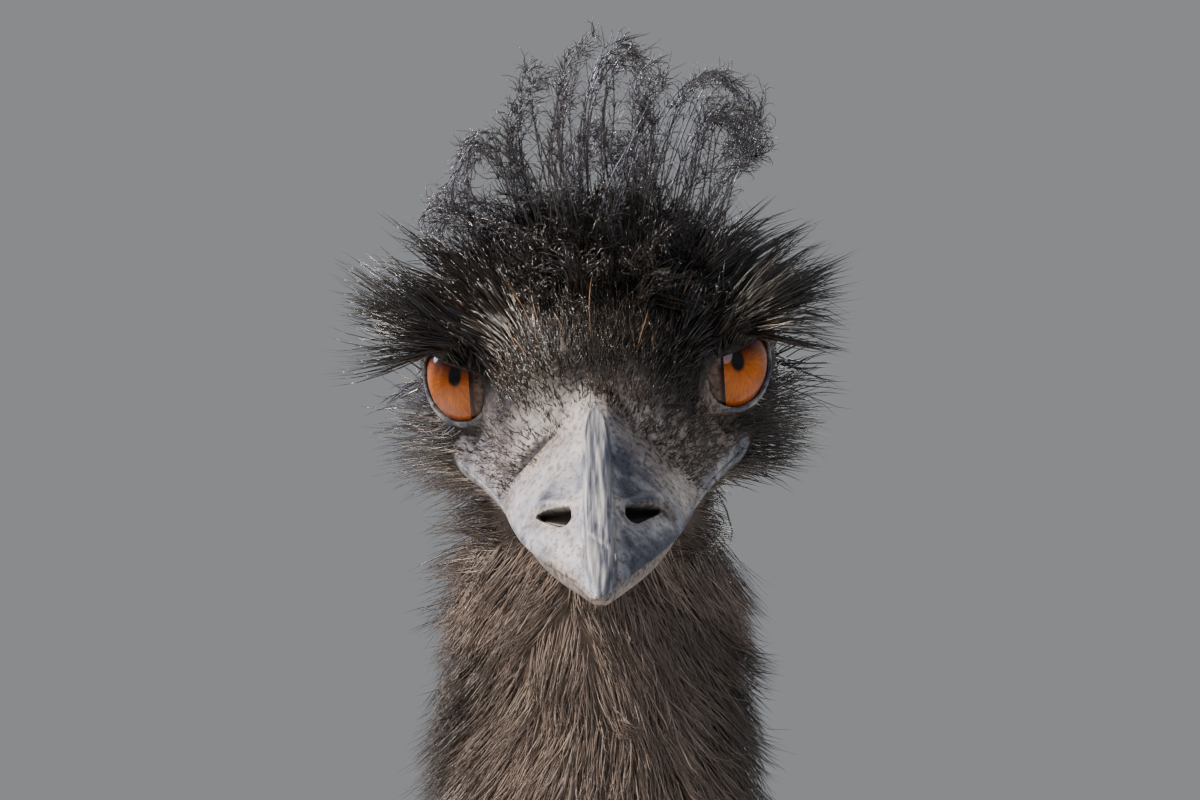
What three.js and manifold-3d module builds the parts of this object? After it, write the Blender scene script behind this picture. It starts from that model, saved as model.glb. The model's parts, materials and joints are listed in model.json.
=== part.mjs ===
// A life-size standing emu, as a museum shows it: head, neck, torso, tail, wings, legs, toes and claws.
// Millimetres, +Z up. The bird looks along -Y and its left side is +X. It stands on small flats at Z = 0.
import * as THREE from "three";
import { mergeVertices } from "three/addons/utils/BufferGeometryUtils.js";
import Module from "manifold-3d";

const wasm = await Module();
wasm.setup();
const V = THREE.Vector3;
const { smoothstep, clamp, degToRad } = THREE.MathUtils;

// Driving dimensions of the bird.
const GAP = 0.3; // between pieces that touch
const EYE_HEIGHT = 1632; // middle between the eyes, above the ground
const EYE_FORWARD = 385; // the same point, ahead of the hips
const BILL_DROP = 20; // how far the bill points below level, degrees
const HEAD_ROLL = 3.6; // the bird's left eye is the higher one, degrees
const BILL_TURN = 1.4; // how far the bill points to the bird's right, degrees
const EYE_RADIUS = 14;
const EYE_SIDE = 26.7; // eyeball centre from the midline
const EYE_BACK = 6.1; // eyeball centre behind the line between the two eye openings
const OPENING_SIDE = 32.8; // middle of the eye opening from the midline
const OPENING_HALF = 11; // half the length of the eye opening
const MOUTH_LEVEL = -19.4; // line of the mouth, below the eyes
const MOUTH_CORNER = { side: 34.5, ahead: 3.5 };
const MOUTH_OPENING = 0.9; // height of the slit between the lips
const FACE_CUT = 36; // plane where the horn of the bill begins, ahead of the eyes
const HEAD_END = 69; // back of the skull, behind the eyes
const BILL_TIP = 98; // tip of the bill, ahead of the eyes
const LID_DEPTH = 2; // skin over the eyeball
const LID_SQUASH = 0.78; // height of the eye opening as a share of its length
const EAR = { side: 41, ahead: -34, up: -10, radius: 5 };
const CREST_TOP = 80; // tips of the crest above the eyes, square to the bill
const BROW_REACH = 60; // tips of the brow feathers from the midline
const NECK_CUT = 0.5; // where along the neck its two lengths meet
const TORSO_BACK = 330; // plane where the tail begins, behind the hips
const HIP_SIDE = 108; // hip and thigh from the midline
const FOOT_SIDE = 102; // foot from the midline
const ANKLE = { y: 146, z: 402 };
const FOOT = { y: 64, z: 46 }; // joint between shank and toes
const SHANK_RADIUS = 18;
const CLAW_LENGTH = 30;
const SCUTE_STEP = 1.3; // how far the free edge of a scute stands up

// Depth of the coat from skin to tips, and the share of it that the solid core fills.
const TRUNK_COAT = 46;
const NECK_COAT = { base: 22, skull: 8 };
const THIGH_COAT = 17;
const WING_COAT = 22;
const CORE_SHARE = 0.4;

// A run of random numbers from 0 to 1 that is the same each time.
function seeded(seed) {
  let state = seed;
  return () => {
    state = (state + 0x6d2b79f5) | 0;
    let mixed = Math.imul(state ^ (state >>> 15), 1 | state);
    mixed = (mixed + Math.imul(mixed ^ (mixed >>> 7), 61 | mixed)) ^ mixed;
    return ((mixed ^ (mixed >>> 14)) >>> 0) / 2 ** 32;
  };
}

// Reads a list of numbers as a smooth curve, t from 0 to 1 (Catmull-Rom).
function through(values, t) {
  const last = values.length - 1;
  const at = clamp(t, 0, 1) * last;
  const i = Math.min(Math.floor(at), last - 1);
  const k = at - i;
  const b = values[i];
  const c = values[i + 1];
  const a = i > 0 ? values[i - 1] : 2 * b - c;
  const d = i + 2 <= last ? values[i + 2] : 2 * c - b;
  const bend = (2 * a - 5 * b + 4 * c - d) * k * k + (3 * b - a - 3 * c + d) * k ** 3;
  return b + 0.5 * ((c - a) * k + bend);
}

// Turns rings of points, each ring the same count, into one closed solid.
// Each end is closed by a fan over its middle, or runs to the point given as tip.
function closed(rings, tip) {
  const sides = rings[0].length;
  const points = rings.flat();
  const faces = [];
  const middle = (ring) => ring.reduce((sum, p) => sum.add(p), new V()).divideScalar(sides);
  for (let r = 0; r + 1 < rings.length; r++) {
    for (let s = 0; s < sides; s++) {
      const [a, b] = [r * sides + s, r * sides + ((s + 1) % sides)];
      faces.push(a, b, b + sides, a, b + sides, a + sides);
    }
  }
  const [front, back] = [points.length, points.length + 1];
  const lastRing = (rings.length - 1) * sides;
  for (let s = 0; s < sides; s++) {
    const next = (s + 1) % sides;
    faces.push(front, next, s, back, lastRing + s, lastRing + next);
  }
  points.push(middle(rings[0]), tip ?? middle(rings.at(-1)));
  const shape = new THREE.BufferGeometry();
  shape.setAttribute("position", new THREE.Float32BufferAttribute(points.flatMap((p) => p.toArray()), 3));
  shape.setIndex(faces);
  return solidOf(shape);
}

// A three.js geometry as a closed solid that faces out.
function solidOf(geometry, matrix = new THREE.Matrix4()) {
  const shape = geometry.clone().applyMatrix4(matrix);
  for (const name of ["normal", "uv"]) shape.deleteAttribute(name);
  const merged = mergeVertices(shape, 1e-3);
  const corners = Array.from(merged.index.array);
  const faces = [];
  for (let i = 0; i < corners.length; i += 3) {
    const [a, b, c] = corners.slice(i, i + 3);
    if (a !== b && b !== c && a !== c) faces.push(a, b, c);
  }
  const vertProperties = new Float32Array(merged.attributes.position.array);
  const make = (order) =>
    new wasm.Manifold(new wasm.Mesh({ numProp: 3, vertProperties, triVerts: new Uint32Array(order) }));
  const solid = make(faces);
  return solid.volume() > 0 ? solid : make(faces.reverse());
}

// A body swept through stations of [x, y, z, side, top, bottom]: its middle, and how far it reaches each way.
// The top side is the one that faces up where the body runs along +Y.
class Body {
  constructor(...stations) {
    this.stations = stations;
  }

  read(t, from, to) {
    const values = [];
    for (let k = from; k < to; k++) values.push(through(this.stations.map((s) => s[k]), t));
    return values;
  }

  // The section at t: its middle, its three directions and its three reaches.
  at(t) {
    const step = 0.002;
    const along = new V(...this.read(t + step, 0, 3)).sub(new V(...this.read(t - step, 0, 3))).normalize();
    const across = new V(1, 0, 0).addScaledVector(along, -along.x).normalize();
    const up = across.clone().cross(along);
    const [side, top, bottom] = this.read(t, 3, 6).map((r) => Math.max(r, 0));
    return { middle: new V(...this.read(t, 0, 3)), along, across, up, side, top, bottom };
  }

  // The point of the surface at t and an angle from the top.
  skin(t, angle) {
    const s = this.at(t);
    const rise = Math.cos(angle) > 0 ? s.top : s.bottom;
    return s.middle
      .addScaledVector(s.across, Math.sin(angle) * s.side)
      .addScaledVector(s.up, Math.cos(angle) * rise);
  }

  // How the surface runs there: towards the end, round the body, and straight out.
  slopes(t, angle) {
    const step = 0.004;
    const [low, high] = [Math.max(t - step, 0), Math.min(t + step, 1)];
    const onward = this.skin(high, angle).sub(this.skin(low, angle)).divideScalar(high - low);
    const round = this.skin(t, angle + step).sub(this.skin(t, angle - step)).divideScalar(2 * step);
    const out = round.clone().cross(onward).normalize();
    return { onward, round, out };
  }

  // The point of the surface lifted straight off it.
  point(t, angle, lift = 0) {
    const p = this.skin(t, angle);
    return lift === 0 ? p : p.addScaledVector(this.slopes(t, angle).out, lift);
  }

  // The solid through rings at the places in ts, each point lifted by lift, a length or a function.
  // Its two end rings are moved outwards along the body by ends.
  through(ts, sides, lift = 0, ends = 0) {
    const liftAt = typeof lift === "function" ? lift : () => lift;
    const pushed = (r) => (r === 0 ? -ends : 0) + (r === ts.length - 1 ? ends : 0);
    const ring = (t, r) => {
      const past = this.at(t).along.multiplyScalar(pushed(r));
      return Array.from({ length: sides }, (_, k) => {
        const angle = (2 * Math.PI * k) / sides;
        return this.point(t, angle, liftAt(t, angle, r)).add(past);
      });
    };
    return closed(ts.map(ring));
  }

  // The solid between two places with rings at even steps.
  solid({ from = 0, to = 1, rings = 16, sides = 20, lift = 0, ends = 0 } = {}) {
    const ts = Array.from({ length: rings + 1 }, (_, r) => from + ((to - from) * r) / rings);
    return this.through(ts, sides, lift, ends);
  }

  // The solid with a row of scutes down its front or upper face, each raised at its free edge.
  scuted({ count, from, to, sides, lead = [], grow = 0 }) {
    const ts = [...lead];
    const raised = new Set();
    for (let k = 0; k < count; k++) {
      const start = from + ((to - from) * k) / count;
      ts.push(start, start + (0.86 * (to - from)) / count);
      raised.add(ts.length - 1);
    }
    ts.push(to);
    if (to < 1) ts.push(1);
    const face = (angle) => Math.max(-Math.cos(angle), 0) ** 0.5;
    const lift = (t, angle, r) => grow + (raised.has(r) ? SCUTE_STEP * face(angle) : 0);
    return this.through(ts, sides, lift, grow);
  }
}

// The largest closed piece of a solid.
function largest(solid) {
  const pieces = solid.decompose();
  return pieces.reduce((best, piece) => (piece.volume() > best.volume() ? piece : best));
}

// An ellipsoid with its middle, its three reaches and its turns in degrees.
function ellipsoid([x, y, z], [a, b, c], turns = [0, 0, 0], detail = 12) {
  const euler = new THREE.Euler(...turns.map(degToRad));
  const matrix = new THREE.Matrix4().compose(
    new V(x, y, z),
    new THREE.Quaternion().setFromEuler(euler),
    new V(a, b, c),
  );
  return solidOf(new THREE.SphereGeometry(1, detail * 2, detail), matrix);
}

// Locks of the coat. A lock's middle line is a list of places, each with its way onward and its way out.

// The middle line of a lock that lies on a body, from a root at t and an angle, along lie(t, angle).
// It leaves the surface and falls where the surface turns under, or past the place given as leave.
function laidLine(body, root, { length, steps, lie, sunk, tip, fall = 0.45, leave = 0.01 }) {
  const line = [];
  const stride = length / steps;
  const down = new V(0, 0, -1);
  let [t, angle] = root;
  let free = false;
  let at, onward, out;
  for (let i = 0; i <= steps; i++) {
    if (!free) {
      const slopes = body.slopes(t, angle);
      out = slopes.out;
      const wish = lie(t, angle);
      onward = wish.addScaledVector(out, -wish.dot(out)).normalize();
      at = body.point(t, angle, sunk + (tip - sunk) * (i / steps) ** 0.7);
      const [a, b, c] = [slopes.onward.lengthSq(), slopes.onward.dot(slopes.round), slopes.round.lengthSq()];
      const [u, v] = [slopes.onward.dot(onward) * stride, slopes.round.dot(onward) * stride];
      t += (c * u - b * v) / (a * c - b * b);
      angle += (a * v - b * u) / (a * c - b * b);
      free = i > 0 && (t < leave || t > 0.93 || out.z < -0.3);
    } else {
      onward = onward.clone().addScaledVector(down, fall).normalize();
      at = at.clone().addScaledVector(onward, stride);
      out = out.clone().addScaledVector(onward, -out.dot(onward)).normalize();
    }
    line.push({ at, onward, out });
  }
  return line;
}

// The middle line of a lock that stands off its root and bends a little more with each step.
function sprungLine({ root, onward, facing, length, steps, bend }) {
  const line = [];
  const stride = length / steps;
  let at = root.clone();
  let way = onward.clone().normalize();
  for (let i = 0; i <= steps; i++) {
    const out = facing.clone().addScaledVector(way, -facing.dot(way)).normalize();
    line.push({ at, onward: way, out });
    way = way.clone().addScaledVector(bend, i / steps).normalize();
    at = at.clone().addScaledVector(way, stride);
  }
  return line;
}

// A flat lock along its middle line: flat below, a low ridge on top, widest a third along, and a fine tip.
function lock(line, { width, thick }, grow = 0) {
  const last = line.length - 1;
  const rings = line.slice(0, last).map(({ at, onward, out }, i) => {
    const s = i / last;
    const half = (width / 2) * (0.62 + 1.5 * s - 1.95 * s * s) + grow;
    const across = onward.clone().cross(out).normalize();
    const under = at.clone().addScaledVector(out, -grow);
    const ridge = at.clone().addScaledVector(out, thick * (1 - 0.6 * s) + grow);
    return [under.clone().addScaledVector(across, half), ridge, under.addScaledVector(across, -half)];
  });
  const tip = line[last].at.clone().addScaledVector(line[last].onward, grow);
  return closed(rings, tip);
}

// Share of the length, and lift as a share of the coat, that a lock is tried with in turn.
const RETRIES = [[1, 0], [1, 0.18], [0.8, 0.15], [1, 0.45], [0.75, 0.45], [0.55, 0.2], [0.4, 0.1]];

// A core with its locks. A lock that would cross a neighbour is lifted, then shortened, or at last left out.
// wishes hold line(share, lift), width and thick; the shell is all that a neighbour has to keep clear of.
function dress(core, shell, wishes, neighbours = []) {
  const solids = [core];
  const shells = [shell];
  for (const wish of wishes) {
    for (const [share, lift] of RETRIES) {
      const line = wish.line(share, lift);
      const grown = lock(line, wish, GAP);
      if (neighbours.some((near) => !near.intersect(grown).isEmpty())) continue;
      solids.push(lock(line, wish));
      shells.push(grown);
      break;
    }
  }
  return { solid: wasm.Manifold.union(solids), shell: wasm.Manifold.union(shells) };
}

// Roots at single places, each [degrees from the top, t].
const rootsAt = (places) => places.map(([degrees, t]) => ({ t, angle: degToRad(degrees) }));

// Rows of roots over a body: each row is [angle in degrees, number, first t, last t], on both sides.
function rootsOver(rows, random, jitter = 0.25) {
  const roots = [];
  rows.forEach(([degrees, count, first, last], row) => {
    for (const side of degrees === 0 || degrees === 180 ? [1] : [1, -1]) {
      for (let k = 0; k < count; k++) {
        const shift = (row % 2) * 0.5 + jitter * (random() - 0.5);
        const t = first + ((last - first) * (k + shift)) / Math.max(count - 0.5, 1);
        const turn = degToRad(degrees + 8 * (random() - 0.5));
        roots.push({ t: clamp(t, 0.004, 0.996), angle: side * turn, side });
      }
    }
  });
  return roots;
}

// The wishes for locks that lie on a body, with lengths and widths varied about their means.
function laidLocks(body, roots, random, { length, width, thick, steps, lie, sunk, tip, fall, leave }) {
  return roots.map(({ t, angle }) => {
    const vary = 0.85 + 0.3 * random();
    const stray = 0.25 * (random() - 0.5);
    const reach = typeof tip === "function" ? tip(t) : tip;
    const spread = 0.12 * (random() - 0.5) * reach;
    const strayed = (tt, aa) => {
      const way = lie(tt, aa);
      return way.add(new V(0, stray * way.length(), 0));
    };
    const [long, wide] = [length, width].map((size) => (typeof size === "function" ? size(t, angle) : size));
    return {
      line: (share, lift) =>
        laidLine(body, [t, angle], {
          length: long * vary * share,
          steps,
          lie: strayed,
          sunk,
          tip: (reach + spread) * (0.5 + 0.5 * share + lift),
          fall,
          leave,
        }),
      width: wide * (0.9 + 0.2 * random()),
      thick,
    };
  });
}

// The torso and tail are one body, from the breast to the end of the rump.
const trunk = new Body(
  [0, -352, 1004, 15, 18, 20],
  [0, -338, 1000, 58, 62, 66],
  [0, -290, 976, 112, 112, 122],
  [0, -200, 938, 160, 156, 168],
  [0, -80, 902, 188, 188, 194],
  [0, 60, 882, 196, 202, 198],
  [0, 190, 868, 184, 194, 188],
  [0, 300, 842, 150, 168, 164],
  [0, 380, 806, 100, 124, 128],
  [0, 425, 772, 50, 72, 78],
  [0, 440, 758, 14, 20, 22],
);

// The place along the trunk where its skin, at an angle from the top, is as far back as y.
function whereSkinReaches(y, angle) {
  let [low, high] = [0, 1];
  for (let i = 0; i < 20; i++) {
    const half = (low + high) / 2;
    if (trunk.skin(half, angle).y < y) low = half;
    else high = half;
  }
  return low;
}

// The neck runs from inside the breast up to the skull.
const neck = new Body(
  [0, -200, 960, 112, 108, 112],
  [0, -262, 1030, 98, 92, 100],
  [0, -312, 1110, 74, 72, 78],
  [0, -342, 1205, 54, 54, 57],
  [0, -352, 1310, 43, 44, 44],
  [0, -345, 1415, 36, 38, 37],
  [0, -338, 1510, 32, 34, 33],
  [0, -342, 1575, 30, 31, 31],
  [0, -352, 1618, 28, 28, 28],
);

const neckCoat = (t) => NECK_COAT.base + (NECK_COAT.skull - NECK_COAT.base) * t;

// The skull in its own frame: origin between the eyes, the bill along -Y, level.
const skull = new Body(
  [0, -FACE_CUT, -12, 23.5, 20, 21],
  [0, -25, -11, 24, 26, 25],
  [0, -12, -9, 26, 32, 29],
  [0, 2, -8, 33.5, 36, 33],
  [0, 12, -7, 39.5, 37, 35],
  [0, 24, -7, 42.5, 37, 36],
  [0, 38, -6, 39, 34, 33],
  [0, 52, -5, 30, 26, 26],
  [0, 62, -5, 19, 16, 16],
  [0, HEAD_END, -5, 5, 4, 4],
);

const headPlace = new THREE.Group();
headPlace.position.set(0, -EYE_FORWARD, EYE_HEIGHT);
headPlace.rotation.set(degToRad(BILL_DROP), degToRad(-HEAD_ROLL), degToRad(-BILL_TURN), "YXZ");
headPlace.updateMatrix();

const toWorld = (solid) => solid.transform(headPlace.matrix.elements);
const toHead = (solid) => solid.transform(headPlace.matrix.clone().invert().elements);
const mirrored = (solid) => solid.mirror([1, 0, 0]);
const onBothSides = (solid) => solid.add(mirrored(solid));

// Eyeball on the bird's left side.
const eyeCentre = new V(EYE_SIDE, EYE_BACK, 0);
const eyeBall = (grow = 0) => ellipsoid(eyeCentre.toArray(), Array(3).fill(EYE_RADIUS + grow), [0, 0, 45], 7);

// Places a shape so that its Z runs out along the eye's gaze, with the lids' height across it.
function alongGaze(geometry, ahead, squash = LID_SQUASH) {
  const place = new THREE.Matrix4().lookAt(new V(1, -1, 0), new V(), new V(0, 0, 1));
  place.setPosition(eyeCentre.clone().add(new V(1, -1, 0).setLength(ahead))).scale(new V(1, squash, 1));
  return solidOf(geometry, place);
}

// The lids: a cap of skin over the eyeball with a thick rim, and the brow that overhangs it.
function lids() {
  const cap = ellipsoid(eyeCentre.toArray(), Array(3).fill(EYE_RADIUS + LID_DEPTH), [0, 0, 45], 6);
  const rim = alongGaze(new THREE.TorusGeometry(OPENING_HALF + 0.4, 1.7, 4, 12), 9.4);
  const brow = ellipsoid([OPENING_SIDE - 3, 2.5, 11], [4.4, 15, 3.6], [12, 0, 42], 5);
  return cap.add(rim).add(brow);
}
const lidOpening = () => {
  const hole = new THREE.CylinderGeometry(OPENING_HALF, OPENING_HALF - 1, 16, 14).rotateX(Math.PI / 2);
  return alongGaze(hole, 7 + 8);
};

// The rim of the ear, and the hollow inside it.
function earRim() {
  const place = new THREE.Matrix4().makeRotationY(Math.PI / 2);
  place.setPosition(EAR.side, -EAR.ahead, EAR.up);
  return solidOf(new THREE.TorusGeometry(EAR.radius, 1.6, 4, 9), place);
}
const earHollow = () =>
  ellipsoid([EAR.side + 2, -EAR.ahead, EAR.up], [6, EAR.radius - 1.2, EAR.radius - 0.6], [0, 0, 0], 5);

// The fold of skin that carries the line of the mouth from the horn back to its corner.
const gape = new Body(
  [18.5, -FACE_CUT, MOUTH_LEVEL + 0.5, 4, 6, 6],
  [21, -24, MOUTH_LEVEL + 0.5, 5, 6.5, 7],
  [25, -12, MOUTH_LEVEL + 1, 5.5, 7.5, 8.5],
  [29.5, -2, MOUTH_LEVEL + 1.5, 6, 8.5, 9.5],
  [33, 10, MOUTH_LEVEL + 3, 6.5, 9.5, 11],
  [35, 24, MOUTH_LEVEL + 6, 4.5, 8, 10],
);

// The slit of the mouth, cut a few millimetres deep into that fold.
function mouthSlit() {
  const outline = new THREE.Shape([
    [16, FACE_CUT + 4],
    [34, FACE_CUT + 4],
    [MOUTH_CORNER.side + 6, MOUTH_CORNER.ahead - 1],
    [MOUTH_CORNER.side - 3.5, MOUTH_CORNER.ahead - 1],
  ].map(([side, ahead]) => new THREE.Vector2(side, -ahead)));
  const slit = new THREE.ExtrudeGeometry(outline, { depth: MOUTH_OPENING, bevelEnabled: false });
  return solidOf(slit, new THREE.Matrix4().makeTranslation(0, 0, MOUTH_LEVEL - MOUTH_OPENING / 2));
}

// A lock that springs from the skull, given in the skull's frame.
function springing(root, onward, facing, length, width, bend, thick = 2.2, steps = 4) {
  return {
    line: (share, lift) =>
      sprungLine({
        root: new V(...root),
        onward: new V(...onward),
        facing: new V(...facing),
        length: length * share,
        steps,
        bend: new V(...bend).add(new V(0, lift * 0.3, 0)),
      }),
    width,
    thick,
  };
}

// The crest: curled tufts across the crown, as [side, height of the tips, curl sideways, locks].
const CREST_TUFTS = [
  [-26, CREST_TOP - 24, -1.3, 3],
  [-15, CREST_TOP - 10, -0.7, 4],
  [-2, CREST_TOP - 4, -0.4, 4],
  [9, CREST_TOP, 0.5, 4],
  [21, CREST_TOP - 10, 1.1, 4],
  [31, CREST_TOP - 27, 1.4, 2],
];

// The locks of a tuft stand one behind the other, each a little shorter and turned further from the front.
function crest(random) {
  const locks = [];
  for (const [side, height, curl, count] of CREST_TUFTS) {
    for (let k = 0; k < count; k++) {
      const back = k / count;
      const x = side * 0.85 + 5 * (k % 2) + 4 * (random() - 0.5);
      const base = 18 - 0.012 * x * x;
      const length = (height - base) * (1.08 - 0.55 * back * random());
      const lean = [side * 0.006 - 0.3 * curl * random(), 0.1 + 0.3 * back, 1];
      const bend = [curl * (0.3 + 0.9 * random()), 0.8 * (random() - 0.4), -0.1 - 0.25 * Math.abs(curl)];
      const root = [x, 2 + 32 * back, base];
      const facing = [1.6 * (random() - 0.5), -1, 0.2];
      locks.push(springing(root, lean, facing, length, 10 + 3 * random(), bend, 2.2));
    }
  }
  return locks;
}

// Brow feathers fan out above each eye, cheek feathers stand out behind and below it.
function browsAndCheeks(random) {
  const locks = [];
  for (const side of [1, -1]) {
    for (let k = 0; k < 5; k++) {
      const share = k / 4;
      const root = [side * (22 + 8 * share), -1 + 26 * share, 22 - 5 * share];
      const onward = [side, 0.15 + 0.7 * share, 0.5 - 0.4 * share];
      const reach = (BROW_REACH - 20) * (1 - 0.3 * share) * (0.92 + 0.12 * random());
      locks.push(springing(root, onward, [0, -0.5, 1], reach, 8, [side * 0.1, 0.05, -0.3], 1.8));
    }
    for (let k = 0; k < 4; k++) {
      const share = k / 3;
      const root = [side * 31, 17 + 9 * share, -6 - 20 * share];
      const onward = [side * 0.8, 0.35, -0.3 - 0.6 * share];
      locks.push(springing(root, onward, [side, -0.5, 0.2], 27 + 6 * random(), 9, [0, 0.15, -0.3], 1.8));
    }
  }
  return locks;
}

// Coat that lies on the skull: up the forehead and over the crown, down the nape, and on the throat.
function headLie(t, angle) {
  const back = smoothstep(t, 0.55, 0.9);
  const under = Math.max(-Math.cos(angle), 0);
  return new V(Math.sin(angle) * 0.5 * (1 - back), 1 - 0.4 * back, 0.3 - 1.3 * back - under);
}

function laidHeadLocks(random) {
  const forehead = rootsOver([[0, 2, 0.05, 0.3], [26, 2, 0.07, 0.3], [52, 2, 0.12, 0.3]], random);
  const crown = rootsOver([[0, 1, 0.52, 0.52], [42, 2, 0.5, 0.72]], random);
  const nape = rootsOver([[15, 1, 0.86, 0.86], [60, 1, 0.86, 0.86], [100, 1, 0.84, 0.84]], random);
  const throat = rootsOver([[180, 1, 0.34, 0.34], [145, 1, 0.4, 0.4]], random);
  const short = { lie: headLie, steps: 3, length: 26, thick: 2, sunk: -3, fall: 0.6 };
  const long = { ...short, length: 45, width: 19, thick: 3, sunk: -4 };
  return [
    ...laidLocks(skull, forehead, random, { ...short, width: 12, tip: 5 }),
    ...laidLocks(skull, crown, random, { ...long, tip: 9 }),
    ...laidLocks(skull, nape, random, { ...long, tip: 12, fall: 0.25 }),
    ...laidLocks(skull, throat, random, { ...short, width: 14, tip: 6 }),
  ];
}

// Sizes of the horn of the bill at a distance ahead of the eyes: a wedge with a ridge along its roof.
const alongBill = (values, ahead) => through(values, (ahead - FACE_CUT) / (BILL_TIP - FACE_CUT));
const billWidth = (ahead) => alongBill([23.2, 21.2, 18.2, 13, 6.4, 1.4], ahead);
const billTop = (ahead) => alongBill([9, 4.2, -0.6, -5.2, -10.6, -16.5], ahead);
const billBottom = (ahead) => alongBill([-33, -31.6, -29.6, -27.4, -24.8, -21], ahead);
const RIDGE_HALF = 2.7;

function upperBillRing(ahead) {
  const w = billWidth(ahead);
  const top = billTop(ahead);
  const rise = top - MOUTH_LEVEL;
  const ridge = Math.min(RIDGE_HALF, w * 0.5);
  const half = [
    [w * 0.96, MOUTH_LEVEL + GAP],
    [w, MOUTH_LEVEL + rise * 0.08],
    [w * 0.88, MOUTH_LEVEL + rise * 0.28],
    [w * 0.64, MOUTH_LEVEL + rise * 0.5],
    [w * 0.3 + ridge * 0.5, MOUTH_LEVEL + rise * 0.73],
    [ridge * 1.1, MOUTH_LEVEL + rise * 0.86],
    [ridge * 0.85, top],
  ];
  const other = half.map(([x, z]) => [-x, z]).reverse();
  return [...half, ...other].map(([x, z]) => new V(x, -ahead, z));
}

function lowerBillRing(ahead) {
  const w = billWidth(ahead) * 0.92;
  const bottom = billBottom(ahead);
  const drop = MOUTH_LEVEL - GAP - bottom;
  const half = [
    [w * 0.55, bottom + drop * 0.06],
    [w * 0.9, bottom + drop * 0.4],
    [w, MOUTH_LEVEL - GAP],
  ];
  const other = half.map(([x, z]) => [-x, z]).reverse();
  return [...half, ...other].map(([x, z]) => new V(x, -ahead, z));
}

function bill(ring, tip) {
  const start = FACE_CUT + GAP / 2;
  const count = 9;
  return closed(Array.from({ length: count + 1 }, (_, r) => ring(start + ((tip - start) * r) / count)));
}

function upperBill() {
  const nostril = ellipsoid([10.8, -64, -10.6], [6.2, 2.2, 3], [0, 23, 49], 5);
  return largest(bill(upperBillRing, BILL_TIP).subtract(onBothSides(nostril)));
}

// Legs, on the bird's left side; the right is a mirror image.
const thigh = new Body(
  [HIP_SIDE - 14, 0, 905, 40, 50, 50],
  [HIP_SIDE - 4, -40, 840, 70, 84, 90],
  [HIP_SIDE + 2, -48, 750, 70, 84, 92],
  [HIP_SIDE + 2, -14, 650, 50, 62, 68],
  [HIP_SIDE, 42, 560, 33, 41, 44],
  [HIP_SIDE - 3, 92, 485, 22, 28, 28],
  [HIP_SIDE - 5, ANKLE.y - 8, 430, 18, 22, 21],
);

const shank = new Body(
  [HIP_SIDE - 5, ANKLE.y - 6, 440, 12, 14, 14],
  [HIP_SIDE - 5, ANKLE.y, 420, 21, 24, 22],
  [HIP_SIDE - 5, ANKLE.y - 2, 402, 23, 27, 24],
  [HIP_SIDE - 5, ANKLE.y - 8, 376, 19, 22, 20],
  [HIP_SIDE - 5, ANKLE.y - 20, 330, SHANK_RADIUS - 1, 18, 17],
  [FOOT_SIDE, ANKLE.y - 42, 240, SHANK_RADIUS - 3, 16, 15],
  [FOOT_SIDE, FOOT.y + 26, 150, SHANK_RADIUS - 2, 16, 16],
  [FOOT_SIDE, FOOT.y + 10, 84, SHANK_RADIUS + 1, 18, 18],
  [FOOT_SIDE, FOOT.y + 1, 36, SHANK_RADIUS + 3, 19, 20],
);

// Toes as [name, angle outwards, length of the fleshy part, girth, scutes].
const TOES = [
  ["inner", -30, 78, 12, 3],
  ["middle", 2, 132, 15.5, 5],
  ["outer", 34, 84, 12.5, 3],
];

function toe(angle, length, girth) {
  const turn = degToRad(angle);
  const at = (share, z, side, over, under) => {
    const reach = length * share;
    return [FOOT_SIDE + Math.sin(turn) * reach, FOOT.y - Math.cos(turn) * reach, z, side, under, over];
  };
  return new Body(
    at(-0.08, girth * 1.5, girth * 1.1, girth * 1.2, girth * 1.2),
    at(0.15, girth * 1.25, girth * 1.15, girth * 1.2, girth * 1.4),
    at(0.4, girth * 0.95, girth, girth, girth * 1.25),
    at(0.7, girth * 0.8, girth * 0.85, girth * 0.8, girth * 1.1),
    at(0.95, girth * 0.7, girth * 0.7, girth * 0.62, girth),
    at(1, girth * 0.65, girth * 0.6, girth * 0.5, girth * 0.8),
  );
}

function claw(angle, length, girth) {
  const turn = degToRad(angle);
  const at = (ahead, z, r) => {
    const reach = length + GAP + ahead;
    return [FOOT_SIDE + Math.sin(turn) * reach, FOOT.y - Math.cos(turn) * reach, z, r * 0.8, r, r];
  };
  return new Body(
    at(0, girth * 0.65, girth * 0.52),
    at(CLAW_LENGTH * 0.4, girth * 0.62, girth * 0.44),
    at(CLAW_LENGTH * 0.8, girth * 0.36, girth * 0.2),
    at(CLAW_LENGTH, girth * 0.16, 0.8),
  );
}

const aboveGround = (solid) => solid.trimByPlane([0, 0, 1], 0);

// Scutes cover the front of the shank below the ankle, and the top of each toe.
const wholeShank = (grow = 0) =>
  shank.scuted({ count: 9, from: 0.42, to: 0.97, sides: 8, lead: [0, 0.1, 0.2, 0.3], grow });

const wholeToe = ([, angle, length, girth, count], grow = 0) =>
  toe(angle, length, girth).scuted({ count, from: 0.12, to: 0.96, sides: 6, grow });

// The three toes run into a rounded pad under the end of the shank.
function foot() {
  let solid = ellipsoid([FOOT_SIDE, FOOT.y, 23], [24, 27, 26], [0, 0, 0], 5);
  for (const one of TOES) solid = solid.add(wholeToe(one));
  return largest(aboveGround(solid).subtract(wholeShank(GAP)));
}

// Wing, on the bird's left side: a small limb laid back along the flank.
const wing = new Body(
  [136, -258, 990, 8, 12, 12],
  [165, -226, 974, 13, 18, 18],
  [189, -170, 950, 12, 18, 18],
  [205, -105, 920, 9, 14, 14],
  [213, -50, 890, 7, 9, 9],
  [216, -22, 870, 3, 4, 4],
);

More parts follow.
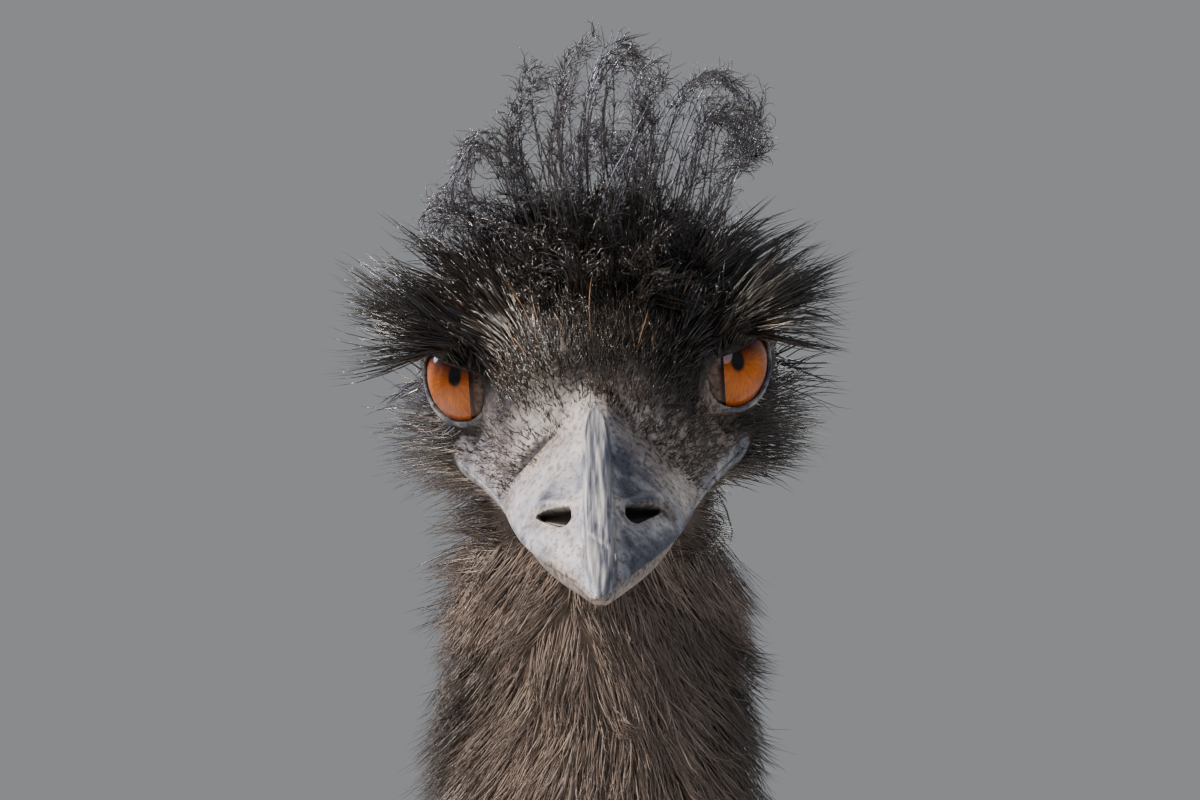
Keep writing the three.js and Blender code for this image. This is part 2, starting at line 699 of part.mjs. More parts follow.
const materials = {
  feather: new THREE.MeshStandardMaterial({ color: "#4b4039", roughness: 0.9 }),
  headFeather: new THREE.MeshStandardMaterial({ color: "#2c2725", roughness: 0.75 }),
  horn: new THREE.MeshStandardMaterial({ color: "#7d7c82", roughness: 0.55 }),
  eye: new THREE.MeshStandardMaterial({ color: "#c9682a", roughness: 0.08 }),
  scale: new THREE.MeshStandardMaterial({ color: "#5a5148", roughness: 0.7 }),
  claw: new THREE.MeshStandardMaterial({ color: "#26211d", roughness: 0.5 }),
};

// A named mesh from a closed solid.
function piece(name, solid, material) {
  const { numProp, numVert, vertProperties, triVerts } = solid.getMesh();
  const points = new Float32Array(numVert * 3);
  for (let i = 0; i < numVert; i++) {
    points.set(vertProperties.subarray(i * numProp, i * numProp + 3), i * 3);
  }
  const shape = new THREE.BufferGeometry();
  shape.setAttribute("position", new THREE.BufferAttribute(points, 3));
  shape.setIndex(new THREE.BufferAttribute(triVerts, 1));
  shape.computeVertexNormals();
  const mesh = new THREE.Mesh(shape, materials[material]);
  mesh.name = name;
  return mesh;
}

const emu = new THREE.Group();
emu.add(headPlace);

// Cores of the coat, each with a copy grown by the gap.
const coreOf = (body, coat, options) =>
  [0, GAP].map((grow) =>
    body.solid({ ...options, lift: (t) => coat(t) * CORE_SHARE + grow, ends: grow }),
  );
const [trunkCore, trunkGrown] = coreOf(trunk, () => TRUNK_COAT, { rings: 12, sides: 18 });
const [neckCore, neckGrown] = coreOf(neck, neckCoat, { rings: 13, sides: 12 });
const [thighCore, thighGrown] = coreOf(thigh, () => THIGH_COAT, { rings: 7, sides: 10 });
const [wingCore, wingGrown] = coreOf(wing, () => WING_COAT, { rings: 5, sides: 8 });
const [skullCore, skullGrown] = coreOf(skull, () => 0, { rings: 15, sides: 16 });

// Thighs: hair-like feathers that fall down the leg.
const fallingLie = () => new V(0, 0.3, -1);
const thighRandom = seeded(11);
const thighLocks = laidLocks(
  thigh,
  rootsAt([
    [20, 0.34], [80, 0.38], [140, 0.34], [200, 0.38], [260, 0.42], [320, 0.36],
    [50, 0.56], [110, 0.6], [170, 0.56], [230, 0.6], [290, 0.56], [350, 0.6],
    [80, 0.76], [200, 0.76], [320, 0.76],
  ]),
  thighRandom,
  { length: 125, width: (t) => 62 - 42 * t, thick: 5, steps: 3, lie: fallingLie, sunk: -2, tip: THIGH_COAT },
);
const shankGrown = wholeShank(GAP);
const thighDressed = dress(thighCore, thighGrown, thighLocks, [shankGrown, trunkGrown]);
const thighSolid = thighDressed.solid.subtract(shankGrown);

// Wings: a few long limp feathers laid back over the flank.
const wingRandom = seeded(23);
const wingLocks = laidLocks(
  wing,
  rootsAt([[95, 0.16], [60, 0.3], [120, 0.38], [85, 0.5], [110, 0.66], [75, 0.82]]),
  wingRandom,
  { length: 150, width: 36, thick: 4, steps: 3, lie: () => new V(-0.02, 1, -0.8), sunk: 3, tip: WING_COAT },
);
const wingDressed = dress(wingCore, wingGrown, wingLocks, [trunkGrown]);

// The trunk's feathers part along the back, run out and back over the flanks, and hang as a skirt.
function trunkLie(t, angle) {
  const side = Math.sign(Math.sin(angle)) || 1;
  const top = Math.max(Math.cos(angle), 0);
  const rump = smoothstep(t, 0.58, 0.85);
  const breast = 1 - smoothstep(t, 0, 0.3);
  const sideways = 0.15 + 0.75 * top - (0.1 + 0.7 * top) * rump;
  return new V(side * sideways, 0.85 - 0.45 * breast - 0.35 * rump, -0.45 - 0.5 * (1 - top) - 0.6 * rump);
}

const trunkLength = (t, angle) => {
  const belly = Math.max(-Math.cos(angle), 0);
  return (180 + 60 * smoothstep(t, 0.2, 0.7)) * (1 - 0.4 * belly);
};
const trunkLook = {
  length: trunkLength, width: 82, thick: 10, steps: 3, lie: trunkLie, sunk: 9, tip: TRUNK_COAT, fall: 0.5,
};
const tailRandom = seeded(37);
// Roots of the tail's locks, as [degrees from the top, distance behind the torso].
const TAIL_ROOTS =
  [[10, 6], [44, 4], [78, 6], [112, 6], [26, 44], [62, 40], [96, 40], [8, 80], [40, 84], [0, 112]];
const tailRoots = TAIL_ROOTS.flatMap(([degrees, behind]) =>
  [1, -1].map((side) => {
    const angle = degToRad(degrees + 6 * tailRandom());
    return { t: whereSkinReaches(TORSO_BACK + behind + 8 * tailRandom(), angle), angle: side * angle };
  }),
);
const behindTorso = (solid) => solid.trimByPlane([0, 1, 0], TORSO_BACK + GAP / 2);
const tailShell = trunkCore.trimByPlane([0, 1, 0], TORSO_BACK - GAP / 2);
const tailDressed = dress(
  behindTorso(trunkCore),
  tailShell,
  laidLocks(trunk, tailRoots, tailRandom, { ...trunkLook, length: 175, width: 60, thick: 12, sunk: 10 }),
);

const torsoRandom = seeded(49);
const breastRoots = rootsAt([[100, 0.02], [-100, 0.02], [145, 0.03], [-145, 0.03], [180, 0.05]]);
const torsoRows = [
  [8, 5, 0.31, 0.72],
  [36, 6, 0.22, 0.72],
  [66, 6, 0.13, 0.72],
  [96, 7, 0.1, 0.71],
  [127, 5, 0.11, 0.69],
  [158, 4, 0.14, 0.62],
];
const torsoRoots = [
  ...breastRoots,
  ...rootsOver(torsoRows, torsoRandom),
].filter(({ t, angle }) => trunk.skin(t, angle).y < TORSO_BACK - 15);
const besideTrunk = [thighDressed.shell, wingDressed.shell]
  .map(onBothSides)
  .concat(neckGrown)
  .map((shell) => shell.subtract(trunkCore));
const torsoCore = trunkCore.trimByPlane([0, -1, 0], -TORSO_BACK + GAP / 2);
const torsoShell = trunkGrown.trimByPlane([0, -1, 0], -TORSO_BACK - GAP / 2);
const torsoDressed = dress(
  torsoCore,
  torsoShell,
  laidLocks(trunk, torsoRoots, torsoRandom, trunkLook),
  [...besideTrunk, tailDressed.shell],
);

// The neck's feathers all point down. Its two lengths meet at a cut square to it.
const neckSection = neck.at(NECK_CUT);
const neckWay = neckSection.along.toArray();
const neckAt = neckSection.along.dot(neckSection.middle);
const neckLie = (t, angle) => new V(Math.sin(angle) * 0.25, 0, -1);
const freeNeck = neckCore.subtract(trunkGrown).subtract(toWorld(skullGrown));
const neckLook = { steps: 3, thick: 3.2, lie: neckLie, sunk: 1, tip: (t) => neckCoat(t) + 2, fall: 0.4 };
const around = (count, t, turn) =>
  Array.from({ length: count }, (_, k) => ({ t, angle: (2 * Math.PI * (k + turn)) / count }));

const lowerRandom = seeded(53);
const lowerRoots = [around(8, 0.26, 0), around(7, 0.345, 0.5), around(6, 0.425, 0.1)].flat();
const lowerDressed = dress(
  largest(freeNeck.trimByPlane(neckWay.map((n) => -n), -neckAt + GAP / 2)),
  neckGrown.trimByPlane(neckWay.map((n) => -n), -neckAt - GAP / 2),
  laidLocks(neck, lowerRoots, lowerRandom, {
    ...neckLook,
    length: (t) => 210 - 200 * t,
    width: (t) => 92 - 110 * t,
    tip: (t) => neckCoat(t) + 6,
    leave: 0.24,
    fall: 0.7,
  }),
  [torsoDressed.shell],
);

const upperRandom = seeded(67);
const upperRoots = [0.53, 0.63, 0.73, 0.83, 0.92].flatMap((t, row) => around(5, t, (row % 2) * 0.5 + 0.1));
const upperDressed = dress(
  largest(freeNeck.trimByPlane(neckWay, neckAt + GAP / 2)),
  neckGrown.trimByPlane(neckWay, neckAt - GAP / 2),
  laidLocks(neck, upperRoots, upperRandom, { ...neckLook, length: 90, width: 32, thick: 2.6 }),
  [lowerDressed.shell, toWorld(skullGrown)],
);

// The head, in its own frame.
const headRandom = seeded(79);
const face = onBothSides(lids().add(earRim()).add(gape.solid({ rings: 6, sides: 6 })));
const hollows = onBothSides(eyeBall(GAP).add(lidOpening()).add(earHollow()).add(mouthSlit()));
const horn = new THREE.BoxGeometry(90, 2 * (BILL_TIP - FACE_CUT), 90);
const hornSpace = solidOf(horn, new THREE.Matrix4().makeTranslation(0, -BILL_TIP - GAP / 2, -12));
const headDressed = dress(
  skullCore.add(face),
  skullGrown,
  [...laidHeadLocks(headRandom), ...crest(headRandom), ...browsAndCheeks(headRandom)],
  [toHead(upperDressed.shell), hornSpace, onBothSides(eyeBall(1.5))],
);
const headSolid = largest(headDressed.solid.subtract(hollows).trimByPlane([0, 1, 0], -FACE_CUT + GAP / 2));

headPlace.add(
  piece("head", headSolid, "headFeather"),
  piece("bill_upper", upperBill(), "horn"),
  piece("bill_lower", bill(lowerBillRing, BILL_TIP - 4), "horn"),
  piece("eye_left", eyeBall(), "eye"),
  piece("eye_right", mirrored(eyeBall()), "eye"),
);
emu.add(
  piece("neck_upper", largest(upperDressed.solid), "feather"),
  piece("neck_lower", largest(lowerDressed.solid), "feather"),
  piece("torso", largest(torsoDressed.solid), "feather"),
  piece("tail", largest(behindTorso(tailDressed.solid)), "feather"),
);

const limbs = [
  ["thigh", thighSolid, "feather"],
  ["shank", wholeShank(), "scale"],
  ["foot", foot(), "scale"],
  ["wing", wingDressed.solid, "feather"],
  ...TOES.map((one) => {
    const [name, angle, length, girth] = one;
    const horny = aboveGround(claw(angle, length, girth).solid({ rings: 4, sides: 5 }));
    return [`claw_${name}`, horny.subtract(wholeToe(one, GAP)), "claw"];
  }),
];
for (const [name, solid, material] of limbs) {
  emu.add(
    piece(`${name}_left`, largest(solid.subtract(trunkGrown)), material),
    piece(`${name}_right`, largest(mirrored(solid).subtract(trunkGrown)), material),
  );
}

// The origin is on the ground below the middle of the whole bird.
emu.updateMatrixWorld(true);
const middle = new THREE.Box3().setFromObject(emu, true).getCenter(new V());
emu.position.set(-middle.x, -middle.y, 0);

export default emu;
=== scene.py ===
"""A life-size standing emu, dressed for a plain studio.

Shapes are worked out in millimetres in the bird's own frame: +Z up, the bill along -Y and the bird's left side
along +X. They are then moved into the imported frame, which is in metres.
"""

import json
import logging
from collections.abc import Callable, Sequence
from dataclasses import dataclass, field
from enum import Enum
from math import cos, pi, radians, sin, sqrt

import bpy
import numpy as np
from bpy.types import Material, Mesh, NodeSocket, NodeTree, Object
from mathutils import Matrix, Vector
from mathutils.bvhtree import BVHTree
from mathutils.kdtree import KDTree

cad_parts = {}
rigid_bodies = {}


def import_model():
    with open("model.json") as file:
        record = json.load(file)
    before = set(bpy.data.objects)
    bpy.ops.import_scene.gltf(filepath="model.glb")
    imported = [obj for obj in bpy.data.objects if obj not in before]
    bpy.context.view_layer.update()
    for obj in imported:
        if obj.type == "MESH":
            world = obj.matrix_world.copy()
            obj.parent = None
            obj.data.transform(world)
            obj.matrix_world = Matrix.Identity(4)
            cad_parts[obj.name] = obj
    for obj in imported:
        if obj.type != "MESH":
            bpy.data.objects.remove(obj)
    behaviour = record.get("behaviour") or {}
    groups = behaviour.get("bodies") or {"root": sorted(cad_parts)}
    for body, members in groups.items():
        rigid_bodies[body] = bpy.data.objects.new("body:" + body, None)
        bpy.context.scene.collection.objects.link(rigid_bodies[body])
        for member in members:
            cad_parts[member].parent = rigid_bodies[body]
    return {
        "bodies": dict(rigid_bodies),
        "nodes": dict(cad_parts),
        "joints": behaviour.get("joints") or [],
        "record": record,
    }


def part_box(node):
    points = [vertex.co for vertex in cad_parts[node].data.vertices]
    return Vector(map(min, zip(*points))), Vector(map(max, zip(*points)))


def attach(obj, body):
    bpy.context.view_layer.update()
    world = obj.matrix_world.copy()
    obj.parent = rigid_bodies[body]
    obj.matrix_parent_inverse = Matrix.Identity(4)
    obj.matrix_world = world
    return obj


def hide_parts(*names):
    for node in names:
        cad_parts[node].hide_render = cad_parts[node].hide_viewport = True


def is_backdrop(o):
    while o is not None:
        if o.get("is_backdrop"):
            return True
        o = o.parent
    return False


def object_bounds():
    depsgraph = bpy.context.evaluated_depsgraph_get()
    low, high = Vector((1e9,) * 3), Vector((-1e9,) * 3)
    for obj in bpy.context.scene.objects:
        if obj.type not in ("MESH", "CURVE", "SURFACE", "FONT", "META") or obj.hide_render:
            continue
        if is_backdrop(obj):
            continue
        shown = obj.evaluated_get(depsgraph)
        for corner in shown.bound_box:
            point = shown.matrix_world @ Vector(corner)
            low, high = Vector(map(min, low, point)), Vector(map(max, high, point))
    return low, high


log = logging.getLogger("emu")

Array = np.ndarray
OverBody = Callable[[Array, Array], Array]  # a value at each place and angle of a body
Pair = tuple[Array, Array]  # such as points and the ways out at each
MM = 0.001  # millimetres to metres
MIRROR = np.array([-1.0, 1, 1])

# Driving dimensions of the head, in millimetres and degrees.
EYE_HEIGHT = 1632.0
EYE_FORWARD = 385.0
BILL_DROP = 20.0
HEAD_ROLL = 3.6
BILL_TURN = 1.4
EYE_RADIUS = 14.0
EYE_SIDE = 26.7
EYE_BACK = 6.1
OPENING_HALF = 11.0
OPENING_RISE = 8.6  # half the height of the eye opening
OPENING_TOP = 6.5  # the straight upper edge, above the middle of the eye
OPENING_SIDE = 32.8
MOUTH_LEVEL = -19.4
FACE_CUT = 36.0
BILL_TIP = 98.0
HIP_SIDE = 108.0
FOOT_SIDE = 102.0
ANKLE_Y, ANKLE_Z = 146.0, 402.0
FOOT_Y = 64.0
SHANK_RADIUS = 18.0
CLAW_LENGTH = 30.0
TRUNK_COAT = 46.0  # depth of the coat on the trunk


class Side(Enum):
    """The two sides of the bird, as the sign of X."""

    LEFT = 1.0
    RIGHT = -1.0

    @property
    def word(self) -> str:
        """The side's name in lower case."""
        return self.name.lower()

    @property
    def signs(self) -> Array:
        """What brings points of the left side to this one."""
        return np.array([self.value, 1, 1])


class Slot(Enum):
    """The record's material slots."""

    HEAD = "head_feather"
    NECK = "neck_feather"
    BODY = "body_feather"
    HORN = "horn"
    EYE = "eye"
    SCALE = "scale"
    CLAW = "claw"


# Small helpers for vectors and curves.


def unit(v: Array) -> Array:
    """Vectors scaled to length 1."""
    return v / np.maximum(np.linalg.norm(v, axis=-1, keepdims=True), 1e-9)


def skimming(way: Array, out: Array) -> Array:
    """The part of a way that runs along a surface."""
    return way - out * np.sum(way * out, 1, keepdims=True)


def smooth(x: Array, low: float, high: float) -> Array:
    """0 below low, 1 above high, and an even slope between."""
    s = np.clip((x - low) / (high - low), 0.0, 1.0)
    return s * s * (3.0 - 2.0 * s)


def mix(a: Array, b: Array, share: Array) -> Array:
    """The value between a and b at a share from 0 to 1."""
    return a + (b - a) * share


def through(values: Array, t: Array) -> Array:
    """Reads rows of values as a smooth curve.

    Args:
        values: rows of numbers, one row a station.
        t: places along the rows, from 0 to 1.

    Returns:
        One row for each place.
    """
    last = len(values) - 1
    at = np.clip(t, 0.0, 1.0) * last
    i = np.minimum(at.astype(int), last - 1)
    k = (at - i)[:, None]
    b, c = values[i], values[i + 1]
    a = np.where((i > 0)[:, None], values[np.maximum(i - 1, 0)], 2 * b - c)
    d = np.where((i + 2 <= last)[:, None], values[np.minimum(i + 2, last)], 2 * c - b)
    bend = (2 * a - 5 * b + 4 * c - d) * k**2 + (3 * b - a - 3 * c + d) * k**3
    return b + 0.5 * ((c - a) * k + bend)


def turned(axis: str, degrees: float) -> Array:
    """The rotation matrix of a turn about one axis."""
    return np.array(Matrix.Rotation(radians(degrees), 3, axis))


def head_turn() -> Array:
    """The rotation from the head's level frame to the bird's frame."""
    return turned("Y", -HEAD_ROLL) @ turned("X", BILL_DROP) @ turned("Z", -BILL_TURN)


HEAD_TURN = head_turn()
HEAD_AT = np.array([0.0, -EYE_FORWARD, EYE_HEIGHT])


# The left eye in the head's level frame: its middle, and the ways back along the opening, up, and out of it.
EYE_AT = np.array([EYE_SIDE, EYE_BACK, 0.0])
EYE_BACKWARD = np.array([sqrt(0.5), sqrt(0.5), 0.0])
EYE_UP = np.array([0.0, 0.0, 1.0])
EYE_OUT = np.array([sqrt(0.5), -sqrt(0.5), 0.0])


def to_bird(points: Array) -> Array:
    """Points of the head's level frame, in the bird's frame."""
    return points @ HEAD_TURN.T + HEAD_AT


def to_head(points: Array) -> Array:
    """Points of the bird's frame, in the head's level frame."""
    return (points - HEAD_AT) @ HEAD_TURN


class Body:
    """A body swept through stations of x, y, z, side, top and bottom: its middle, and its reach each way."""

    def __init__(self, *stations: Sequence[float]) -> None:
        """Keeps the stations as an array."""
        self.stations = np.array(stations, float)

    def mirrored(self) -> "Body":
        """The same body on the bird's right side."""
        return Body(*(self.stations * np.array([-1, 1, 1, 1, 1, 1])))

    def section(self, t: Array) -> tuple[Array, Array, Array, Array, Array]:
        """The sections at t.

        Returns:
            Middles, ways onward, ways across, ways up, and the three reaches.
        """
        step = 0.002
        rows = through(self.stations, t)
        ahead, behind = through(self.stations, t + step), through(self.stations, t - step)
        along = unit((ahead - behind)[:, :3])
        across = unit(np.array([1.0, 0, 0]) - along * along[:, :1])
        return rows[:, :3], along, across, np.cross(across, along), np.maximum(rows[:, 3:], 0.0)

    def skin(self, t: Array, angle: Array) -> Array:
        """The points of the surface at t and an angle from the top."""
        middle, _, across, up, reach = self.section(t)
        rise = np.where(np.cos(angle) > 0, reach[:, 1], reach[:, 2]) * np.cos(angle)
        return middle + across * (np.sin(angle) * reach[:, 0])[:, None] + up * rise[:, None]

    def slopes(self, t: Array, angle: Array) -> tuple[Array, Array, Array]:
        """How the surface runs: towards the end, round the body, and straight out."""
        step = 0.004
        low, high = np.maximum(t - step, 0.0), np.minimum(t + step, 1.0)
        onward = (self.skin(high, angle) - self.skin(low, angle)) / (high - low)[:, None]
        around = (self.skin(t, angle + step) - self.skin(t, angle - step)) / (2 * step)
        return onward, around, unit(np.cross(around, onward))

    def point(self, t: Array, angle: Array, lift: Array | float) -> Array:
        """The points of the surface lifted straight off it."""
        return self.skin(t, angle) + self.slopes(t, angle)[2] * np.reshape(lift, (-1, 1))

    def rings(self, count: int, sides: int, lift: OverBody | None = None) -> Array:
        """Rings of points round the body, evenly from its start to its end.

        Args:
            count: how many rings there are.
            sides: points in each ring.
            lift: how far each point stands off the surface, from its t and angle.

        Returns:
            An array of rings, points and coordinates.
        """
        bearings = np.linspace(0, 2 * pi, sides, endpoint=False)
        t, angle = (grid.ravel() for grid in np.meshgrid(np.linspace(0, 1, count), bearings, indexing="ij"))
        return self.point(t, angle, lift(t, angle) if lift else 0.0).reshape(count, sides, 3)

    def scatter(self, count: int, wanted: OverBody) -> Pair:
        """Evenly spread roots over the surface.

        Args:
            count: how many roots to place.
            wanted: how thickly they stand, from 0 to 1, at each t and angle.

        Returns:
            The t and the angle of each root.
        """
        golden = np.array([0.8191725134, 0.6710436067, 0.5497004779])
        found_t: list[Array] = []
        found_angle: list[Array] = []
        start, got, block = 1, 0, max(4 * count, 2000)
        limit = None
        while got < count:
            u = (np.arange(start, start + block)[:, None] * golden) % 1.0
            start += block
            t, angle = u[:, 0], 2 * pi * u[:, 1] - pi
            onward, around, _ = self.slopes(t, angle)
            share = np.linalg.norm(np.cross(onward, around), axis=1) * wanted(t, angle)
            limit = share.max() if limit is None else limit
            keep = u[:, 2] * limit < share
            found_t.append(t[keep])
            found_angle.append(angle[keep])
            got += int(keep.sum())
        return np.concatenate(found_t)[:count], np.concatenate(found_angle)[:count]


# The bird's flesh, the same shapes as in the solids.
TRUNK = Body(
    (0, -352, 1004, 15, 18, 20),
    (0, -338, 1000, 58, 62, 66),
    (0, -290, 976, 112, 112, 122),
    (0, -200, 938, 160, 156, 168),
    (0, -80, 902, 188, 188, 194),
    (0, 60, 882, 196, 202, 198),
    (0, 190, 868, 184, 194, 188),
    (0, 300, 842, 150, 168, 164),
    (0, 380, 806, 100, 124, 128),
    (0, 425, 772, 50, 72, 78),
    (0, 440, 758, 14, 20, 22),
)
NECK = Body(
    (0, -200, 960, 112, 108, 112),
    (0, -262, 1030, 98, 92, 100),
    (0, -312, 1110, 74, 72, 78),
    (0, -342, 1205, 54, 54, 57),
    (0, -352, 1310, 43, 44, 44),
    (0, -345, 1415, 36, 38, 37),
    (0, -338, 1510, 32, 34, 33),
    (0, -342, 1575, 30, 31, 31),
    (0, -352, 1618, 28, 28, 28),
)
SKULL = Body(
    (0, -37, -12, 20, 13.5, 19.5),
    (0, -25, -11, 24, 26, 25),
    (0, -12, -9, 26, 32, 29),
    (0, 2, -8, 33.5, 36, 33),
    (0, 12, -7, 39.5, 37, 35),
    (0, 24, -7, 42.5, 37, 36),
    (0, 38, -6, 39, 34, 33),
    (0, 52, -5, 30, 26, 26),
    (0, 62, -5, 19, 16, 16),
    (0, 69, -5, 5, 4, 4),
)
GAPE = Body(
    (20.5, -36, MOUTH_LEVEL + 0.5, 2.2, 3.4, 3.4),
    (22.5, -24, MOUTH_LEVEL + 0.5, 3.2, 4, 4.4),
    (26, -12, MOUTH_LEVEL + 1, 4, 4.8, 5.4),
    (30.5, -2, MOUTH_LEVEL + 1.8, 4.4, 5.4, 6.2),
    (33.6, 10, MOUTH_LEVEL + 3.2, 4.4, 5.8, 7),
    (35, 24, MOUTH_LEVEL + 6, 3.5, 5, 7),
)
THIGH = Body(
    (HIP_SIDE - 14, 0, 905, 40, 50, 50),
    (HIP_SIDE - 4, -40, 840, 70, 84, 90),
    (HIP_SIDE + 2, -48, 750, 70, 84, 92),
    (HIP_SIDE + 2, -14, 650, 50, 62, 68),
    (HIP_SIDE, 42, 560, 33, 41, 44),
    (HIP_SIDE - 3, 92, 485, 22, 28, 28),
    (HIP_SIDE - 5, ANKLE_Y - 8, 430, 18, 22, 21),
)
SHANK = Body(
    (HIP_SIDE - 5, ANKLE_Y - 6, 440, 12, 14, 14),
    (HIP_SIDE - 5, ANKLE_Y, 420, 21, 24, 22),
    (HIP_SIDE - 5, ANKLE_Y - 2, 402, 23, 27, 24),
    (HIP_SIDE - 5, ANKLE_Y - 8, 376, 19, 22, 20),
    (HIP_SIDE - 5, ANKLE_Y - 20, 330, SHANK_RADIUS - 1, 18, 17),
    (FOOT_SIDE, ANKLE_Y - 42, 240, SHANK_RADIUS - 3, 16, 15),
    (FOOT_SIDE, FOOT_Y + 26, 150, SHANK_RADIUS - 2, 16, 16),
    (FOOT_SIDE, FOOT_Y + 10, 84, SHANK_RADIUS + 1, 18, 18),
    (FOOT_SIDE, FOOT_Y + 1, 36, SHANK_RADIUS + 3, 19, 20),
)
WING = Body(
    (136, -258, 990, 8, 12, 12),
    (165, -226, 974, 13, 18, 18),
    (189, -170, 950, 12, 18, 18),
    (205, -105, 920, 9, 14, 14),
    (213, -50, 890, 7, 9, 9),
    (216, -22, 870, 3, 4, 4),
)


@dataclass(frozen=True)
class Toe:
    """One toe: its name, its angle outwards in degrees, its length and its girth."""

    name: str
    angle: float
    length: float
    girth: float

    def _place(self, reach: float) -> tuple[float, float]:
        """The x and y of a point along the toe."""
        turn = radians(self.angle)
        return FOOT_SIDE + sin(turn) * reach, FOOT_Y - cos(turn) * reach

    def flesh(self) -> Body:
        """The toe without its claw."""
        g = self.girth
        rows = [
            (-0.08, 1.5, 1.1, 1.2, 1.2), (0.15, 1.25, 1.15, 1.2, 1.4), (0.4, 0.95, 1.0, 1.0, 1.25),
            (0.7, 0.8, 0.85, 0.8, 1.1), (0.95, 0.7, 0.7, 0.62, 1.0), (1.0, 0.65, 0.6, 0.5, 0.8),
        ]
        return Body(
            *(
                (*self._place(self.length * share), g * up, g * side, g * under, g * over)
                for share, up, side, over, under in rows
            )
        )

    def claw(self) -> Body:
        """The claw, which starts inside the end of the toe."""
        g = self.girth
        rows = [(-0.16, 0.66, 0.42), (0.0, 0.66, 0.5), (0.4, 0.62, 0.44), (0.8, 0.36, 0.2), (0.98, 0.16, 0.06)]
        return Body(
            *(
                (*self._place(self.length + CLAW_LENGTH * share), g * up, g * r * 0.8, g * r, g * r)
                for share, up, r in rows
            )
        )


TOES = (Toe("inner", -30, 78, 12), Toe("middle", 2, 132, 15.5), Toe("outer", 34, 84, 12.5))


class Frame:
    """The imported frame, and the way from the bird's millimetres into it."""

    def __init__(self) -> None:
        """Loads the solids, and finds how far their middle was moved."""
        self.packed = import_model()
        self.cad = [list(corner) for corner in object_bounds()]
        boxes = [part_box(f"eye_{side.word}") for side in Side]
        found = sum((low + high for low, high in boxes), Vector()) / 4
        drawn = to_bird(np.array([[0.0, EYE_BACK, 0.0]]))[0] * MM
        self.shift = np.array(found) - drawn
        self.low, self.high = (np.array(corner) for corner in self.cad)

    def place(self, points: Array) -> Array:
        """Points of the bird's frame in millimetres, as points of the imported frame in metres."""
        return points * MM + self.shift

    def taken(self, mesh: Mesh) -> Array:
        """A mesh's points in millimetres of the bird's frame."""
        points = np.zeros(3 * len(mesh.vertices))
        mesh.vertices.foreach_get("co", points)
        return (points.reshape(-1, 3) - self.shift) / MM

    def inside(self, points: Array, margin: float) -> Array:
        """The same points kept inside the solids' box by a margin, in millimetres of the bird's frame."""
        low = (self.low - self.shift) / MM + margin
        high = (self.high - self.shift) / MM - margin
        return np.clip(points, low, high)

    def write_sizes(self) -> None:
        """Brings the evaluated scene up to date."""
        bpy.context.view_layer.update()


# Meshes.


@dataclass
class Shape:
    """A mesh as points in the bird's frame, in millimetres, and faces."""

    points: Array
    faces: list[tuple[int, ...]]

    def joined(self, *others: "Shape") -> "Shape":
        """This shape and others as one."""
        points, faces = [self.points], list(self.faces)
        for other in others:
            start = sum(map(len, points))
            faces += [tuple(i + start for i in face) for face in other.faces]
            points.append(other.points)
        return Shape(np.vstack(points), faces)

    def mirrored(self) -> "Shape":
        """The same shape on the other side of the head."""
        return Shape(to_bird(to_head(self.points) * MIRROR), [f[::-1] for f in self.faces])

    def outward(self) -> "Shape":
        """The same shape, with its faces turned over if the volume that they enclose is below 0."""
        centre = self.points.mean(0)
        total = 0.0
        for face in self.faces:
            a, *rest = (self.points[i] - centre for i in face)
            total += sum(float(np.dot(a, np.cross(b, c))) for b, c in zip(rest, rest[1:]))
        return self if total > 0 else Shape(self.points, [f[::-1] for f in self.faces])


def tube(rings: Array, in_head: bool = False) -> Shape:
    """A closed tube through rings of points, with a fan over each end.

    Args:
        rings: an array of rings, points and coordinates.
        in_head: whether the points are in the head's level frame.

    Returns:
        The closed shape, with its faces pointing out.
    """
    count, sides, _ = rings.shape
    points = np.vstack([rings.reshape(-1, 3), rings[0].mean(0)[None], rings[-1].mean(0)[None]])
    faces: list[tuple[int, ...]] = []
    for r in range(count - 1):
        for s in range(sides):
            a, b = r * sides + s, r * sides + (s + 1) % sides
            faces.append((a, b, b + sides, a + sides))
    front, back, last = count * sides, count * sides + 1, (count - 1) * sides
    for s in range(sides):
        faces.append((front, (s + 1) % sides, s))
        faces.append((back, last + s, last + (s + 1) % sides))
    return Shape(to_bird(points) if in_head else points, faces).outward()


def ball(middle: Sequence[float], reach: Sequence[float], turn: Array | None = None, detail: int = 24) -> Shape:
    """An ellipsoid of the head's level frame."""
    polar = np.linspace(0.02, pi - 0.02, detail)
    round_ = np.linspace(0, 2 * pi, 2 * detail, endpoint=False)
    p, r = np.meshgrid(polar, round_, indexing="ij")
    rings = np.stack([np.sin(p) * np.cos(r), np.sin(p) * np.sin(r), np.cos(p)], -1) * np.array(reach)
    rings = rings @ turn.T if turn is not None else rings
    return tube(rings + np.array(middle), in_head=True)


def rope(line: Array, radius: Array | float, sides: int = 10) -> Shape:
    """A closed ring of rope along a closed line of the head's level frame."""
    ahead = unit(np.roll(line, -1, 0) - np.roll(line, 1, 0))
    centre = line.mean(0)
    out = unit(line - centre)
    other = np.cross(ahead, out)
    turn = np.linspace(0, 2 * pi, sides, endpoint=False)
    r = np.broadcast_to(radius, (len(line),))[:, None, None]
    rings = line[:, None] + r * (
        np.cos(turn)[None, :, None] * out[:, None] + np.sin(turn)[None, :, None] * other[:, None]
    )
    count = len(line)
    faces = []
    for i in range(count):
        for s in range(sides):
            a, b = i * sides + s, i * sides + (s + 1) % sides
            c, d = ((i + 1) % count) * sides + (s + 1) % sides, ((i + 1) % count) * sides + s
            faces.append((a, b, c, d))
    return Shape(to_bird(rings.reshape(-1, 3)), faces).outward()


